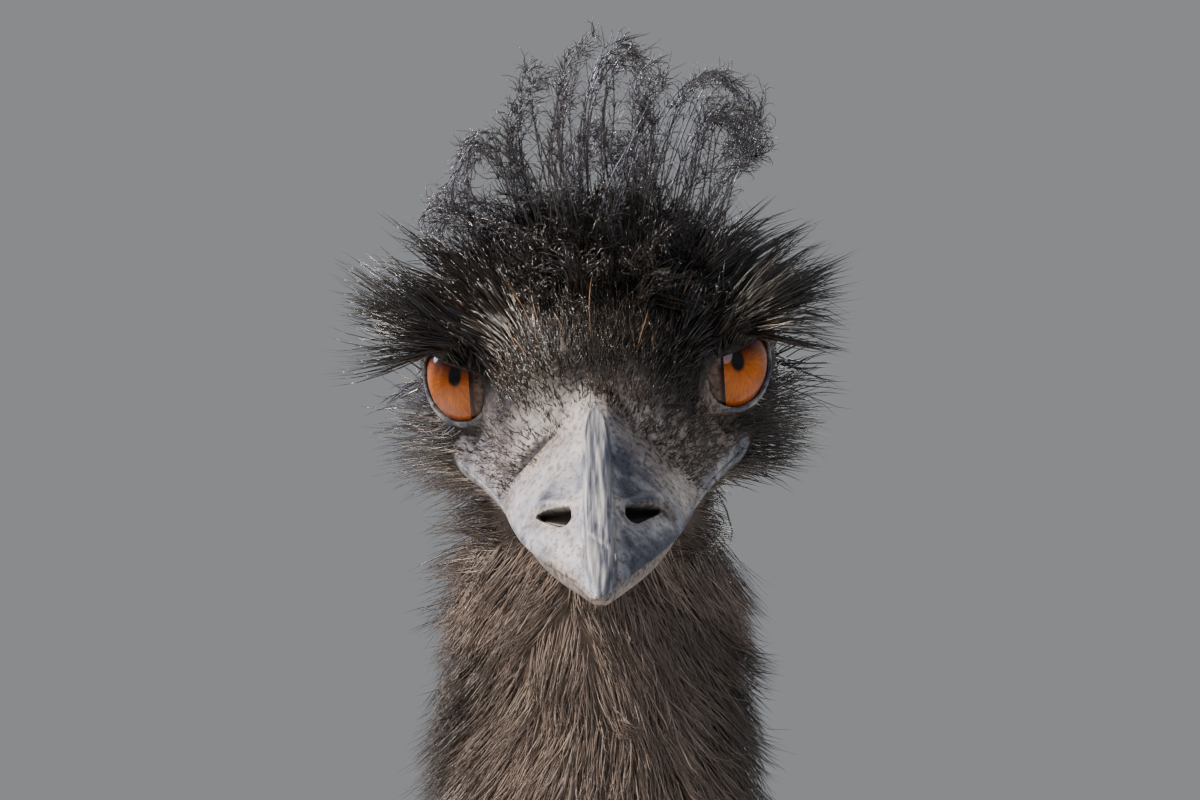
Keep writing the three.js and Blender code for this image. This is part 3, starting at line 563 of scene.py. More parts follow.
def linked(name: str, data: bpy.types.ID) -> Object:
    """An object of the scene with the data given."""
    made = bpy.data.objects.new(name, data)
    bpy.context.scene.collection.objects.link(made)
    return made


def make_object(name: str, shape: Shape, frame: Frame) -> Object:
    """A Blender object from a shape."""
    mesh = bpy.data.meshes.new(name)
    mesh.from_pydata(frame.place(shape.points).tolist(), [], shape.faces)
    mesh.validate()
    mesh.update()
    return linked(name, mesh)


def applied(made: Object) -> Object:
    """The object with its modifiers applied to its mesh."""
    bpy.context.view_layer.update()
    seen = made.evaluated_get(bpy.context.evaluated_depsgraph_get())
    mesh = bpy.data.meshes.new_from_object(seen)
    made.modifiers.clear()
    made.data = mesh
    return made


def remeshed(made: Object, voxel: float, rounds: int) -> Object:
    """The object rebuilt as one even skin, and smoothed.

    Args:
        made: an object of overlapping closed shapes.
        voxel: the size of the new faces, in millimetres.
        rounds: how often the skin is smoothed.

    Returns:
        The same object.
    """
    remesh = made.modifiers.new("even", "REMESH")
    remesh.mode = "VOXEL"
    remesh.voxel_size = voxel * MM
    if rounds:
        ease = made.modifiers.new("ease", "SMOOTH")
        ease.factor = 0.5
        ease.iterations = rounds
    return applied(made)


def combined(made: Object, others: Sequence[Object], operation: str) -> Object:
    """The object joined with others, or cut by them, which are then removed."""
    for other in others:
        step = made.modifiers.new("join", "BOOLEAN")
        step.operation = operation
        step.solver = "MANIFOLD"
        step.object = other
    applied(made)
    for other in others:
        bpy.data.objects.remove(other)
    return made


def paint(made: Object, **fields: Array) -> None:
    """Writes named fields on the points of an object's mesh."""
    for key, value in fields.items():
        kind = "FLOAT_VECTOR" if value.ndim == 2 else "FLOAT"
        attribute = made.data.attributes.new(key, kind, "POINT")
        attribute.data.foreach_set("vector" if value.ndim == 2 else "value", value.astype(np.float32).ravel())


def finish_piece(made: Object, materials: Sequence[Material], nodes: Sequence[str] = ()) -> None:
    """Gives a piece its materials, its body and the solids that it stands for."""
    made.data.materials.clear()
    for material in materials:
        made.data.materials.append(material)
    made.data.polygons.foreach_set("use_smooth", np.ones(len(made.data.polygons), bool))
    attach(made, "root")
    if nodes:
        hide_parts(*nodes)
    count = sum(len(p.vertices) - 2 for p in made.data.polygons)
    log.info("%s: %d triangles", made.name, count)


# Materials.


def linear(value: str) -> tuple[float, float, float, float]:
    """An sRGB hex colour as linear red, green, blue and alpha."""
    parts = [int(value[i : i + 2], 16) / 255 for i in (1, 3, 5)]
    return (*(p / 12.92 if p <= 0.04045 else ((p + 0.055) / 1.055) ** 2.4 for p in parts), 1.0)


Inputs = dict[str | int, object]  # for each input socket, the socket that feeds it or its value


def add(
    tree: NodeTree,
    kind: str,
    inputs: Inputs | None = None,
    stops: Sequence[tuple[float, str]] = (),
    out: int | str = 0,
    **settings: object,
) -> NodeSocket | None:
    """Adds a node with its settings and links.

    Args:
        tree: the material's node tree.
        kind: the node's type.
        inputs: for each input socket, the socket that feeds it or its value.
        stops: for a colour ramp, its places and hex colours.
        out: which of its output sockets is wanted.
        settings: the node's own settings.

    Returns:
        That output socket, if it has any.
    """
    made = tree.nodes.new("ShaderNode" + kind)
    for name, value in settings.items():
        setattr(made, name, value)
    for socket, value in (inputs or {}).items():
        if isinstance(value, NodeSocket):
            tree.links.new(value, made.inputs[socket])
        else:
            made.inputs[socket].default_value = value
    for i, (place, colour) in enumerate(stops):
        ramp = made.color_ramp.elements
        stop = ramp[i] if i < 2 else ramp.new(place)
        stop.position = place
        stop.color = linear(colour)
    return made.outputs[out] if made.outputs else None


# Settings of a node that mixes two colours, and of one that darkens the first by the second.
MIXED = {"data_type": "RGBA", "out": 2}
DARKENED = MIXED | {"blend_type": "MULTIPLY"}


class Finish:
    """The finish of one real material."""

    name: str

    def shading(self, tree: NodeTree) -> Inputs:
        """Adds its pattern to the tree, and gives back the inputs of its shader."""
        raise NotImplementedError

    def material(self) -> Material:
        """Builds the material."""
        made = bpy.data.materials.new(self.name)
        made.use_nodes = True
        made.node_tree.nodes.clear()
        shader = add(made.node_tree, "BsdfPrincipled", self.shading(made.node_tree))
        add(made.node_tree, "OutputMaterial", {"Surface": shader})
        return made


@dataclass(frozen=True)
class Plumage(Finish):
    """Keratin barbs: glossy enough to glint along their length, darkest at the tips.

    The colour runs from the root to the tip, with a second, paler run where the bird is marked pale.
    """

    name: str
    dark: tuple[str, str, str]
    pale: tuple[str, str, str]
    gloss: float = 0.42
    glint: float = 0.5
    sheen: float = 0.15
    ior: float = 1.55  # keratin

    def shading(self, tree: NodeTree) -> Inputs:
        """The inputs of its shader."""
        along, shade, pale = (
            add(tree, "Attribute", attribute_name=key, out="Fac") for key in ("along", "shade", "pale")
        )
        runs = [
            add(tree, "ValToRGB", {"Fac": along}, stops=((0.0, root), (1.0, tip), (0.55, middle)))
            for root, middle, tip in (self.dark, self.pale)
        ]
        marked = add(tree, "Mix", {"Factor": pale, 6: runs[0], 7: runs[1]}, **MIXED)
        light = add(tree, "MapRange", {"Value": shade, "From Min": 0.0, "From Max": 1.0, "To Min": 0.55, "To Max": 1.5})
        varied = add(tree, "HueSaturation", {"Color": marked, "Value": light})
        return {
            "Base Color": varied, "Roughness": self.gloss, "IOR": self.ior, "Specular IOR Level": self.glint,
            "Sheen Weight": self.sheen, "Sheen Roughness": 0.4,
        }


@dataclass(frozen=True)
class Weathering:
    """What horn and bare skin of the face share: pale chalk over slate grey, brown where dirt stays, and fine pits."""

    chalk: str = "#b3acaa"
    grey: str = "#8e8e94"
    slate: str = "#4a4d5a"
    brown: str = "#62524a"
    tan: str = "#94867b"
    patch: float = 10.0  # size of the slate patches, millimetres
    pit: float = 1.5  # spacing of the pits, millimetres

    def apply(self, tree: NodeTree, chalky: NodeSocket, slaty: NodeSocket | float) -> tuple[NodeSocket, NodeSocket]:
        """Adds the shared pattern.

        Args:
            tree: the material's node tree.
            chalky: 1 where the surface is chalky, 0 where it is brown.
            slaty: how much more slate shows.

        Returns:
            The colour and the height of the relief.
        """
        place = add(tree, "TexCoord", out="Object")
        patches = add(tree, "TexNoise", {"Vector": place, "Scale": 1000 / self.patch, "Detail": 6.0, "Roughness": 0.6})
        pits = add(tree, "TexNoise", {"Vector": place, "Scale": 1000 / self.pit, "Detail": 5.0, "Roughness": 0.65})
        slid = add(tree, "Math", {0: slaty, 1: 0.24, 2: patches}, operation="MULTIPLY_ADD")
        ground = add(tree, "ValToRGB", {"Fac": slid}, stops=((0.43, self.chalk), (0.69, self.slate), (0.56, self.grey)))
        earthy = add(tree, "ValToRGB", {"Fac": pits}, stops=((0.34, self.brown), (0.78, self.chalk), (0.56, self.tan)))
        colour = add(tree, "Mix", {"Factor": chalky, 6: earthy, 7: ground}, **MIXED)
        dirt = add(tree, "ValToRGB", {"Fac": pits}, stops=((0.38, "#6b5c53"), (0.5, "#ffffff")))
        worn = add(tree, "Mix", {"Factor": 0.7, 6: colour, 7: dirt}, **DARKENED)
        height = add(tree, "Math", {0: pits, 1: 0.6, 2: patches}, operation="MULTIPLY_ADD")
        return worn, height


@dataclass(frozen=True)
class Horn(Finish):
    """Bill horn: dry, chalky keratin with a dull gloss, streaked lengthwise on the ridge, with painted shade in the
    nostrils and beside the ridge.
    """

    name: str = "bill horn, weathered keratin"
    streak: float = 1.0  # spacing of the streaks on the ridge, millimetres
    base: Weathering = Weathering()

    def shading(self, tree: NodeTree) -> Inputs:
        """The inputs of its shader."""
        chalk, edge, ridge, deep = (
            add(tree, "Attribute", attribute_name=key, out="Fac") for key in ("chalk", "edge", "ridge", "deep")
        )
        # edge adds slate along the rims and, as painted shade, over the side away from the key light.
        colour, height = self.base.apply(tree, chalk, edge)
        place = add(tree, "TexCoord", out="Object")
        level = add(tree, "Mapping", {"Vector": place, "Rotation": (radians(-BILL_DROP), 0.0, 0.0)})
        drawn_out = add(tree, "Mapping", {"Vector": level, "Scale": (1.0, 0.05, 0.2)})
        streaks = add(tree, "TexNoise", {"Vector": drawn_out, "Scale": 1000 / self.streak, "Detail": 3.0})
        lined = add(tree, "ValToRGB", {"Fac": streaks}, stops=((0.4, "#4c505c"), (0.68, "#b4b0ae"), (0.53, "#83848c")))
        striped = add(tree, "Mix", {"Factor": ridge, 6: colour, 7: lined}, **MIXED)
        # Painted shade: near black where deep is high, inside the nostrils and in a line along the ridge's shaded
        # flank.
        with_painted_shade = add(tree, "Mix", {"Factor": deep, 6: striped, 7: linear("#120a07")}, **MIXED)
        relief = add(tree, "Math", {0: streaks, 1: ridge, 2: height}, operation="MULTIPLY_ADD")
        bump = add(tree, "Bump", {"Height": relief, "Strength": 0.5, "Distance": 0.5 * MM})
        return {"Base Color": with_painted_shade, "Roughness": 0.46, "IOR": 1.54, "Normal": bump}


@dataclass(frozen=True)
class Iris(Finish):
    """The wet eye: an orange-brown iris with fine fibres round a black pupil, under a clear, glossy front."""

    name: str = "eye, wet cornea over the iris"
    pupil: float = 2.05  # radius, millimetres
    iris: float = 12.0
    ior: float = 1.376  # cornea

    def shading(self, tree: NodeTree) -> Inputs:
        """The inputs of its shader."""
        polar = add(tree, "Attribute", attribute_name="polar", out="Fac")
        fibre_place = add(tree, "Attribute", attribute_name="fibre", out="Vector")
        high = add(tree, "Attribute", attribute_name="high", out="Fac")
        fibres = add(tree, "TexNoise", {"Vector": fibre_place, "Scale": 5.0, "Detail": 6.0, "Roughness": 0.7})
        edge = self.pupil / 16.0
        rings = add(
            tree, "ValToRGB", {"Fac": polar},
            stops=(
                (0.0, "#060403"), (edge - 0.006, "#070504"), (edge + 0.006, "#7a3006"), (edge + 0.05, "#cd660e"),
                (0.42, "#dc7514"), (0.62, "#ca640f"), (self.iris / 16.0, "#8c3f0a"),
                (self.iris / 16.0 + 0.03, "#1c0f09"),
            ),
        )
        grain = add(tree, "ValToRGB", {"Fac": fibres}, stops=((0.3, "#8a8a8a"), (0.7, "#ffffff")))
        threaded = add(tree, "Mix", {"Factor": 0.85, 6: rings, 7: grain}, **DARKENED)
        # Painted shadow of the brow: the top of the iris darkened by how high it lies on the ball.
        shadow = add(tree, "ValToRGB", {"Fac": high}, stops=((0.56, "#ffffff"), (0.72, "#57281c")))
        shaded = add(tree, "Mix", {"Factor": 1.0, 6: threaded, 7: shadow}, **DARKENED)
        return {
            "Base Color": shaded, "Roughness": 0.6, "IOR": self.ior, "Specular IOR Level": 0.1, "Coat Weight": 1.0,
            "Coat Roughness": 0.02, "Coat IOR": self.ior,
        }


@dataclass(frozen=True)
class Membrane(Finish):
    """The third lid: a brown, moist fold of skin, red near its free edge, with painted shadow in black on the edge."""

    name: str = "third lid, wet membrane"

    def shading(self, tree: NodeTree) -> Inputs:
        """The inputs of its shader."""
        place = add(tree, "TexCoord", out="Object")
        edge = add(tree, "Attribute", attribute_name="edge", out="Fac")
        veins = add(tree, "TexNoise", {"Vector": place, "Scale": 1000 / 1.2, "Detail": 4.0})
        skin = add(tree, "ValToRGB", {"Fac": veins}, stops=((0.35, "#2c1f1b"), (0.7, "#7a6156")))
        # The black on the free edge is painted shadow of the lid's thickness; the red line inside it is the membrane's
        # own colour.
        band = add(
            tree, "ValToRGB", {"Fac": edge},
            stops=((0.0, "#ffffff"), (0.9, "#0c0606"), (0.3, "#d9877a"), (0.7, "#50201a")),
        )
        colour = add(tree, "Mix", {"Factor": 1.0, 6: skin, 7: band}, **DARKENED)
        return {"Base Color": colour, "Roughness": 0.25, "IOR": 1.38}


@dataclass(frozen=True)
class BareSkin(Finish):
    """Bare skin of the face and lids, dry and finely wrinkled, and dark under the feathers."""

    name: str = "face skin, dry and wrinkled"
    under: str = "#1d1816"
    under_pale: str = "#66564b"
    wrinkle: float = 1.1  # spacing of the wrinkles, millimetres
    base: Weathering = Weathering()

    def shading(self, tree: NodeTree) -> Inputs:
        """The inputs of its shader."""
        bare, chalk, pale = (add(tree, "Attribute", attribute_name=key, out="Fac") for key in ("bare", "chalk", "pale"))
        colour, height = self.base.apply(tree, chalk, 0.35)
        bed = add(tree, "ValToRGB", {"Fac": pale}, stops=((0.0, self.under), (1.0, self.under_pale)))
        shown = add(tree, "Mix", {"Factor": bare, 6: bed, 7: colour}, **MIXED)
        place = add(tree, "TexCoord", out="Object")
        cells = add(tree, "TexVoronoi", {"Vector": place, "Scale": 1000 / self.wrinkle}, feature="SMOOTH_F1")
        relief = add(tree, "Math", {0: cells, 1: 0.8, 2: height}, operation="MULTIPLY_ADD")
        bump = add(tree, "Bump", {"Height": relief, "Strength": 0.5, "Distance": 0.5 * MM})
        return {"Base Color": shown, "Roughness": 0.52, "IOR": 1.42, "Normal": bump}


@dataclass(frozen=True)
class Scales(Finish):
    """Horny scales of the legs: small round ones behind and at the sides, grey-brown and dusty in their grooves."""

    name: str = "leg scales, horny skin"
    high: str = "#8a7d6c"
    low: str = "#3a3129"
    scale: float = 3.6  # width of a small scale, millimetres

    def shading(self, tree: NodeTree) -> Inputs:
        """The inputs of its shader."""
        place = add(tree, "TexCoord", out="Object")
        cells = add(tree, "TexVoronoi", {"Vector": place, "Scale": 1000 / self.scale}, feature="DISTANCE_TO_EDGE")
        dust = add(tree, "TexNoise", {"Vector": place, "Scale": 1000 / 18, "Detail": 6.0})
        grooves = add(tree, "ValToRGB", {"Fac": cells}, stops=((0.0, "#6f6f6f"), (0.12, "#ffffff")))
        ground = add(tree, "ValToRGB", {"Fac": dust}, stops=((0.3, self.low), (0.7, self.high), (0.5, "#62574a")))
        colour = add(tree, "Mix", {"Factor": 1.0, 6: ground, 7: grooves}, **DARKENED)
        bump = add(tree, "Bump", {"Height": cells, "Strength": 0.7, "Distance": 0.6 * MM})
        return {"Base Color": colour, "Roughness": 0.6, "IOR": 1.5, "Normal": bump}


@dataclass(frozen=True)
class ClawHorn(Finish):
    """Claw horn: dark keratin, smooth, with a drawn-out grain."""

    name: str = "claw horn, dark keratin"

    def shading(self, tree: NodeTree) -> Inputs:
        """The inputs of its shader."""
        place = add(tree, "TexCoord", out="Object")
        drawn_out = add(tree, "Mapping", {"Vector": place, "Scale": (1.0, 0.15, 1.0)})
        grain = add(tree, "TexNoise", {"Vector": drawn_out, "Scale": 1000 / 1.4, "Detail": 4.0})
        colour = add(tree, "ValToRGB", {"Fac": grain}, stops=((0.3, "#171310"), (0.75, "#4e453c")))
        bump = add(tree, "Bump", {"Height": grain, "Strength": 0.3, "Distance": 0.3 * MM})
        return {"Base Color": colour, "Roughness": 0.38, "IOR": 1.54, "Normal": bump}


@dataclass(frozen=True)
class StudioFloor(Finish):
    """Matt painted board: pale and even."""

    name: str = "studio floor, matt paint"
    colour: str = "#cfcdc8"

    def shading(self, tree: NodeTree) -> Inputs:
        """The inputs of its shader."""
        return {"Base Color": linear(self.colour), "Roughness": 0.85}


# Markings, with some painted light and shade, the same for the skin and for the coat that grows from it.


def ripple(points: Array, size: float) -> Array:
    """A smooth field of uneven patches about as wide as size, from -1 to 1."""
    k = 2 * pi / size
    x, y, z = points.T * k
    return (
        np.sin(0.71 * x + 0.43 * y + 0.9 * np.sin(0.53 * z))
        + np.sin(0.62 * y - 0.37 * z + 1.1 * np.sin(0.47 * x + 1.3))
        + np.sin(0.68 * z + 0.29 * x + 0.8 * np.sin(0.61 * y + 2.1))
    ) / 3


def paleness(points: Array) -> Array:
    """How pale the bird is at points of its own frame, from 0 to 1: its markings, with a painted shadow of the bill on
    the throat.
    """
    x, y, z = points.T
    local = to_head(points)
    throat = smooth(z + 7 * ripple(points, 15), 1550, 1580) * (1 - smooth(z, 1604, 1622))
    # The dark spot in the middle under the bill is a painted shadow of the bill.
    throat *= 0.8 + 0.45 * ripple(points, 15) - 0.9 * np.exp(-(((x - 6) / 14) ** 2) - ((z - 1569) / 15) ** 2)
    throat *= (1 - smooth(np.abs(x + 3) + 5 * ripple(points, 17), 26, 38)) * (1 - smooth(y, -352, -325))
    neck = (0.35 + 0.3 * ripple(points, 24)) * smooth(z, 1180, 1330) * (1 - 0.5 * smooth(z, 1430, 1540))
    neck *= 1 - smooth(z, 1550, 1580)
    trunk = 0.45 * (1 - smooth(z, 1040, 1160))
    chin = 0.8 * smooth(-local[:, 2], 24, 32) * smooth(-local[:, 1], -10, 12)
    temple = 0.3 * smooth(np.abs(local[:, 0]) + 2 * ripple(local, 8), 33, 37) * smooth(-local[:, 1], -14, -6)
    temple *= smooth(local[:, 2], -24, -14) * (1 - smooth(local[:, 2], 4, 9))
    return np.clip(np.maximum.reduce([throat, neck, trunk, chin, temple]), 0, 1)


def lip_level(ahead: Array) -> Array:
    """The height of the line of the mouth, which rises a little at its corner."""
    return MOUTH_LEVEL + 3.0 * (1 - smooth(ahead, -6, 14))


def to_left(local: Array) -> Array:
    """The signs that bring points of the head to its left side."""
    return np.where(local[:, :1] < 0, MIRROR, 1.0)


def from_eye(local: Array) -> tuple[Array, Array, Array, Array]:
    """Where points of the head's level frame lie about the nearer eye.

    Returns:
        How far back along its opening, up, and out they lie from the middle of the ball, and how far outside
        the edge of its opening, less than 0 within it.
    """
    away = local * to_left(local) - EYE_AT
    along, up, out = away @ EYE_BACKWARD, away[:, 2], away @ EYE_OUT
    edge = (np.hypot(along / OPENING_HALF, up / OPENING_RISE) - 1) * OPENING_RISE
    return along, up, out, np.maximum(edge, up - OPENING_TOP - 0.13 * along)


def rim(local: Array) -> Array:
    """How near points are to the lower rim of the eye's opening: 1 on it, 0 from 2 mm away."""
    along, up, out, edge = from_eye(local)
    near = (1 - smooth(np.abs(edge - 0.5 + 0.25 * ripple(local, 3)), 0.6, 1.1)) * (out > 4)
    return near * (1 - smooth(up, 0, 4)) * smooth(along, -8.5, -5.5)


def lips(local: Array) -> Array:
    """How near points are to the line of the mouth, behind the horn."""
    ahead, up = -local[:, 1], local[:, 2]
    near = np.abs(up - lip_level(ahead) + 0.4 * ripple(local, 9))
    return (1 - smooth(near, 1.6, 4.2)) * smooth(ahead, -1, 4) * (np.abs(local[:, 0]) > 14)


def snout(local: Array) -> Array:
    """Where the skin before the forehead is bare: 1 at the horn, 0 among the feathers."""
    ahead = -local[:, 1]
    return smooth(ahead + 2 * ripple(local, 9) + 0.15 * np.abs(local[:, 0]), 29, 37)


def lore(local: Array) -> Array:
    """Where the skin between eye, bill and mouth is nearly bare."""
    x, ahead, up = np.abs(local[:, 0]), -local[:, 1], local[:, 2]
    level = 1 - smooth(up + 0.25 * (ahead - 10) + 1.5 * ripple(local, 10), -3, 5)
    return level * smooth(up, -24, -17) * smooth(ahead + 1.2 * ripple(local, 7), 0, 9) * (x > 8)


def bareness(local: Array) -> Array:
    """How bare the face is at points of the head's level frame, from 0 to 1."""
    return np.clip(np.maximum.reduce([snout(local), lips(local), rim(local)]), 0, 1)


def chalkiness(local: Array) -> Array:
    """How chalky bare skin and horn are: chalky on the lips, lids and about the ridge, brown on the lores, with painted
    light and shade across the two sides.
    """
    x, ahead = np.abs(local[:, 0]), -local[:, 1]
    side = smooth(x + 2.2 * ripple(local, 11), 8, 17) * (1 - smooth(ahead + 3 * ripple(local, 14), 46, 58))
    # Painted light and shade: the side towards the key light is chalkier and the side away from it browner and darker,
    # partly the real colour of the two sides.
    shaded_side = smooth(local[:, 0], -3, 3)
    side = side * mix(0.25, 1.0, shaded_side)
    base = mix(0.4, 0.8, shaded_side) * (1 - smooth(ahead - 5 * smooth(x, 2, 8) + 4 * ripple(local, 7), 34, 48))
    return np.clip(np.maximum.reduce([1 - np.maximum(side, base), lips(local), rim(local)]), 0, 1)


# Strands: each is a thin tapered body with three sides.

BAKE_PATCH = 0.003  # width of a tuft's place on the unwrapped skin
PATCHES = {
    "trunk": (0.01, 0.01, 0.58, 0.58),
    "neck": (0.61, 0.01, 0.38, 0.38),
    "skull": (0.61, 0.41, 0.38, 0.36),
    "thigh_left": (0.01, 0.61, 0.28, 0.37),
    "thigh_right": (0.31, 0.61, 0.28, 0.37),
    "wing_left": (0.61, 0.79, 0.18, 0.19),
    "wing_right": (0.81, 0.79, 0.18, 0.19),
}


def unwrapped(patch: str, t: Array, angle: Array) -> Array:
    """The place of roots on the unwrap of the skin, where each body has a patch of its own."""
    u0, v0, wide, high = PATCHES[patch]
    turn = (angle / (2 * pi)) % 1.0
    return np.stack([u0 + wide * turn, v0 + high * np.clip(t, 0, 1)], -1)


@dataclass
class Strands:
    """Many strands, each a line of points with its ways out, a width and its place on the skin."""

    lines: Array
    outs: Array
    width: Array
    place: Array
    pale: Array
    shade: Array
    flat: float = 0.8

    def __len__(self) -> int:
        """How many strands there are."""
        return len(self.lines)

    def only(self, keep: Array) -> "Strands":
        """The strands for which keep is true."""
        return Strands(
            *(part[keep] for part in (self.lines, self.outs, self.width, self.place, self.pale, self.shade)),
            flat=self.flat,
        )

    def build(self, name: str, frame: Frame) -> Object:
        """Builds the strands as one mesh object with its attributes and its OFBake map.

        Args:
            name: the object's name.
            frame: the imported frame.

        Returns:
            The object.
        """
        count, points, _ = self.lines.shape
        rings = points - 1
        lines = frame.inside(self.lines, 0.5)
        ahead = unit(np.gradient(lines, axis=1))
        across = unit(np.cross(ahead, self.outs))
        up = np.cross(across, ahead)
        s = np.arange(rings) / rings
        half = 0.5 * self.width[:, None] * (0.75 + 0.9 * s - 1.45 * s * s)
        step = half[:, :, None]
        body = lines[:, :rings]
        ring = np.stack(
            [body + across[:, :rings] * step, body + up[:, :rings] * step * self.flat, body - across[:, :rings] * step],
            2,
        )
        verts = np.concatenate([ring.reshape(count, rings * 3, 3), lines[:, -1:]], 1)
        each = rings * 3 + 1
        template = []
        for r in range(rings - 1):
            for j in range(3):
                a, b = 3 * r + j, 3 * r + (j + 1) % 3
                template += [(a, b + 3, b), (a, a + 3, b + 3)]
        end = 3 * (rings - 1)
        template += [(end + j, each - 1, end + (j + 1) % 3) for j in range(3)]
        template.append((0, 1, 2))
        faces = (np.array(template)[None] + (np.arange(count) * each)[:, None, None]).reshape(-1)
        mesh = bpy.data.meshes.new(name)
        mesh.vertices.add(count * each)
        kept = frame.inside(verts.reshape(-1, 3), 0.1)
        mesh.vertices.foreach_set("co", frame.place(kept).astype(np.float32).ravel())
        mesh.loops.add(len(faces))
        mesh.loops.foreach_set("vertex_index", faces.astype(np.int32))
        mesh.polygons.add(len(faces) // 3)
        mesh.polygons.foreach_set("loop_start", np.arange(0, len(faces), 3, dtype=np.int32))
        mesh.update(calc_edges=True)
        share = np.concatenate([np.repeat(s, 3), [1.0]])
        within = np.stack([np.concatenate([np.tile([0.0, 0.5, 1.0], rings), [0.5]]), share], -1) * BAKE_PATCH
        vert_map = (self.place[:, None] + within[None]).reshape(-1, 2)
        bake = mesh.uv_layers.new(name="OFBake")
        bake.data.foreach_set("uv", vert_map[faces].astype(np.float32).ravel())
        made = linked(name, mesh)
        paint(made, along=np.tile(share, count), shade=np.repeat(self.shade, each), pale=np.repeat(self.pale, each))
        return made


@dataclass
class Lie:
    """How strands lie on a body: their way, length, depth and curl."""

    way: OverBody
    length: OverBody
    lift: OverBody
    steps: int = 8
    fall: float = 0.22
    leave: float = 0.01
    stray: float = 0.12


def laid(body: Body, t: Array, angle: Array, lie: Lie, rng: np.random.Generator) -> Pair:
    """Lines that lie along a body, and hang free where its surface turns under.

    Args:
        body: the body that they grow on.
        t: the roots' places along it.
        angle: the roots' angles from its top.
        lie: how they lie.
        rng: the source of their small differences.

    Returns:
        The points of the lines, and the ways out at each.
    """
    count = len(t)
    t, angle = t.copy(), angle.copy()
    length = lie.length(t, angle) * rng.uniform(0.75, 1.15, count)
    reach = lie.lift(t, angle)
    stray = rng.normal(0, lie.stray, (count, 3))
    stride = (length / lie.steps)[:, None]
    free = np.zeros(count, bool)
    lines, outs = [], []
    at = onward = out = np.zeros((count, 3))
    for i in range(lie.steps + 1):
        slope, around, normal = body.slopes(t, angle)
        wish = unit(lie.way(t, angle)) + stray
        laid_way = unit(skimming(wish, normal))
        laid_at = body.point(t, angle, -1.0 + (reach + 1.0) * (i / lie.steps) ** 0.8)
        hang_way = unit(onward + np.array([0, 0, -lie.fall]))
        hang_at = at + hang_way * stride
        way = np.where(free[:, None], hang_way, laid_way)
        at = np.where(free[:, None], hang_at, laid_at)
        out = np.where(free[:, None], unit(skimming(out, way)), normal)
        onward = way
        a, b, c = (np.sum(p * q, 1) for p, q in ((slope, slope), (slope, around), (around, around)))
        u, v = (np.sum(p * laid_way, 1) * stride[:, 0] for p in (slope, around))
        t = np.where(free, t, t + (c * u - b * v) / (a * c - b * b))
        angle = np.where(free, angle, angle + (a * v - b * u) / (a * c - b * b))
        free = free | ((t < lie.leave) | (t > 0.93) | (normal[:, 2] < -0.3)) & (i > 0)
        lines.append(at)
        outs.append(out)
    return np.stack(lines, 1), np.stack(outs, 1)


def barbs(lines: Array, outs: Array, count: int, spread: float, curl: float, rng: np.random.Generator) -> Pair:
    """Splits each feather into barbs that leave its line to both sides and curl a little at their ends.

    Args:
        lines: the feathers' lines.
        outs: the ways out along them.
        count: barbs in a feather.
        spread: half the width of a feather.
        curl: how far the ends stray.
        rng: the source of their small differences.

    Returns:
        The barbs' lines and ways out.
    """
    n, points, _ = lines.shape
    s = np.linspace(0, 1, points)
    across = unit(np.cross(unit(np.gradient(lines, axis=1)), outs))
    offsets = np.linspace(-1, 1, count) if count > 1 else np.zeros(1)
    made, ways = [], []
    for k in range(count):
        side = offsets[k] + rng.normal(0, 0.2, n)
        wave = rng.uniform(0, 2 * pi, n)[:, None]
        turns = rng.uniform(1.5, 4.0, n)[:, None]
        open_out = spread * side[:, None] * np.sin(np.minimum(s * 1.25, 1.0) * pi * 0.62)[None]
        stray = curl * s[None] ** 1.6 * np.sin(wave + turns * s[None] * pi)
        rise = curl * 0.6 * s[None] ** 1.4 * np.cos(wave * 1.7 + turns * s[None] * pi)
        made.append(lines + across * (open_out + stray)[:, :, None] + outs * rise[:, :, None])
        ways.append(outs)
    return np.concatenate(made), np.concatenate(ways)


def tufted(
    lines: Array, outs: Array, count: int, spread: tuple[float, float], stray: float, rng: np.random.Generator
) -> Pair:
    """Turns each line into a tuft of strands that run along it.

    Args:
        lines: the tufts' middle lines.
        outs: the ways out along them.
        count: strands in a tuft.
        spread: how far the strands stand from the middle at the root and at the tip.
        stray: how far the tips wander on their own.
        rng: the source of their small differences.

    Returns:
        The strands' lines and ways out, tuft after tuft for the first strand, then for the second.
    """
    n, points, _ = lines.shape
    s = np.linspace(0, 1, points)[None, :, None]
    made = []
    for _ in range(count):
        offset = rng.normal(0, 0.6, (n, 1, 3))
        wave = rng.uniform(0, 2 * pi, (n, 1, 3))
        turns = rng.uniform(1.0, 2.6, (n, 1, 1))
        wander = stray * s**1.5 * np.sin(wave + turns * 2 * pi * s)
        short = rng.uniform(0.72, 1.0, (n, 1, 1))
        root = lines[:, :1]
        made.append(root + (lines - root) * short + offset * mix(spread[0], spread[1], s) + wander)
    return np.concatenate(made), np.tile(outs, (count, 1, 1))


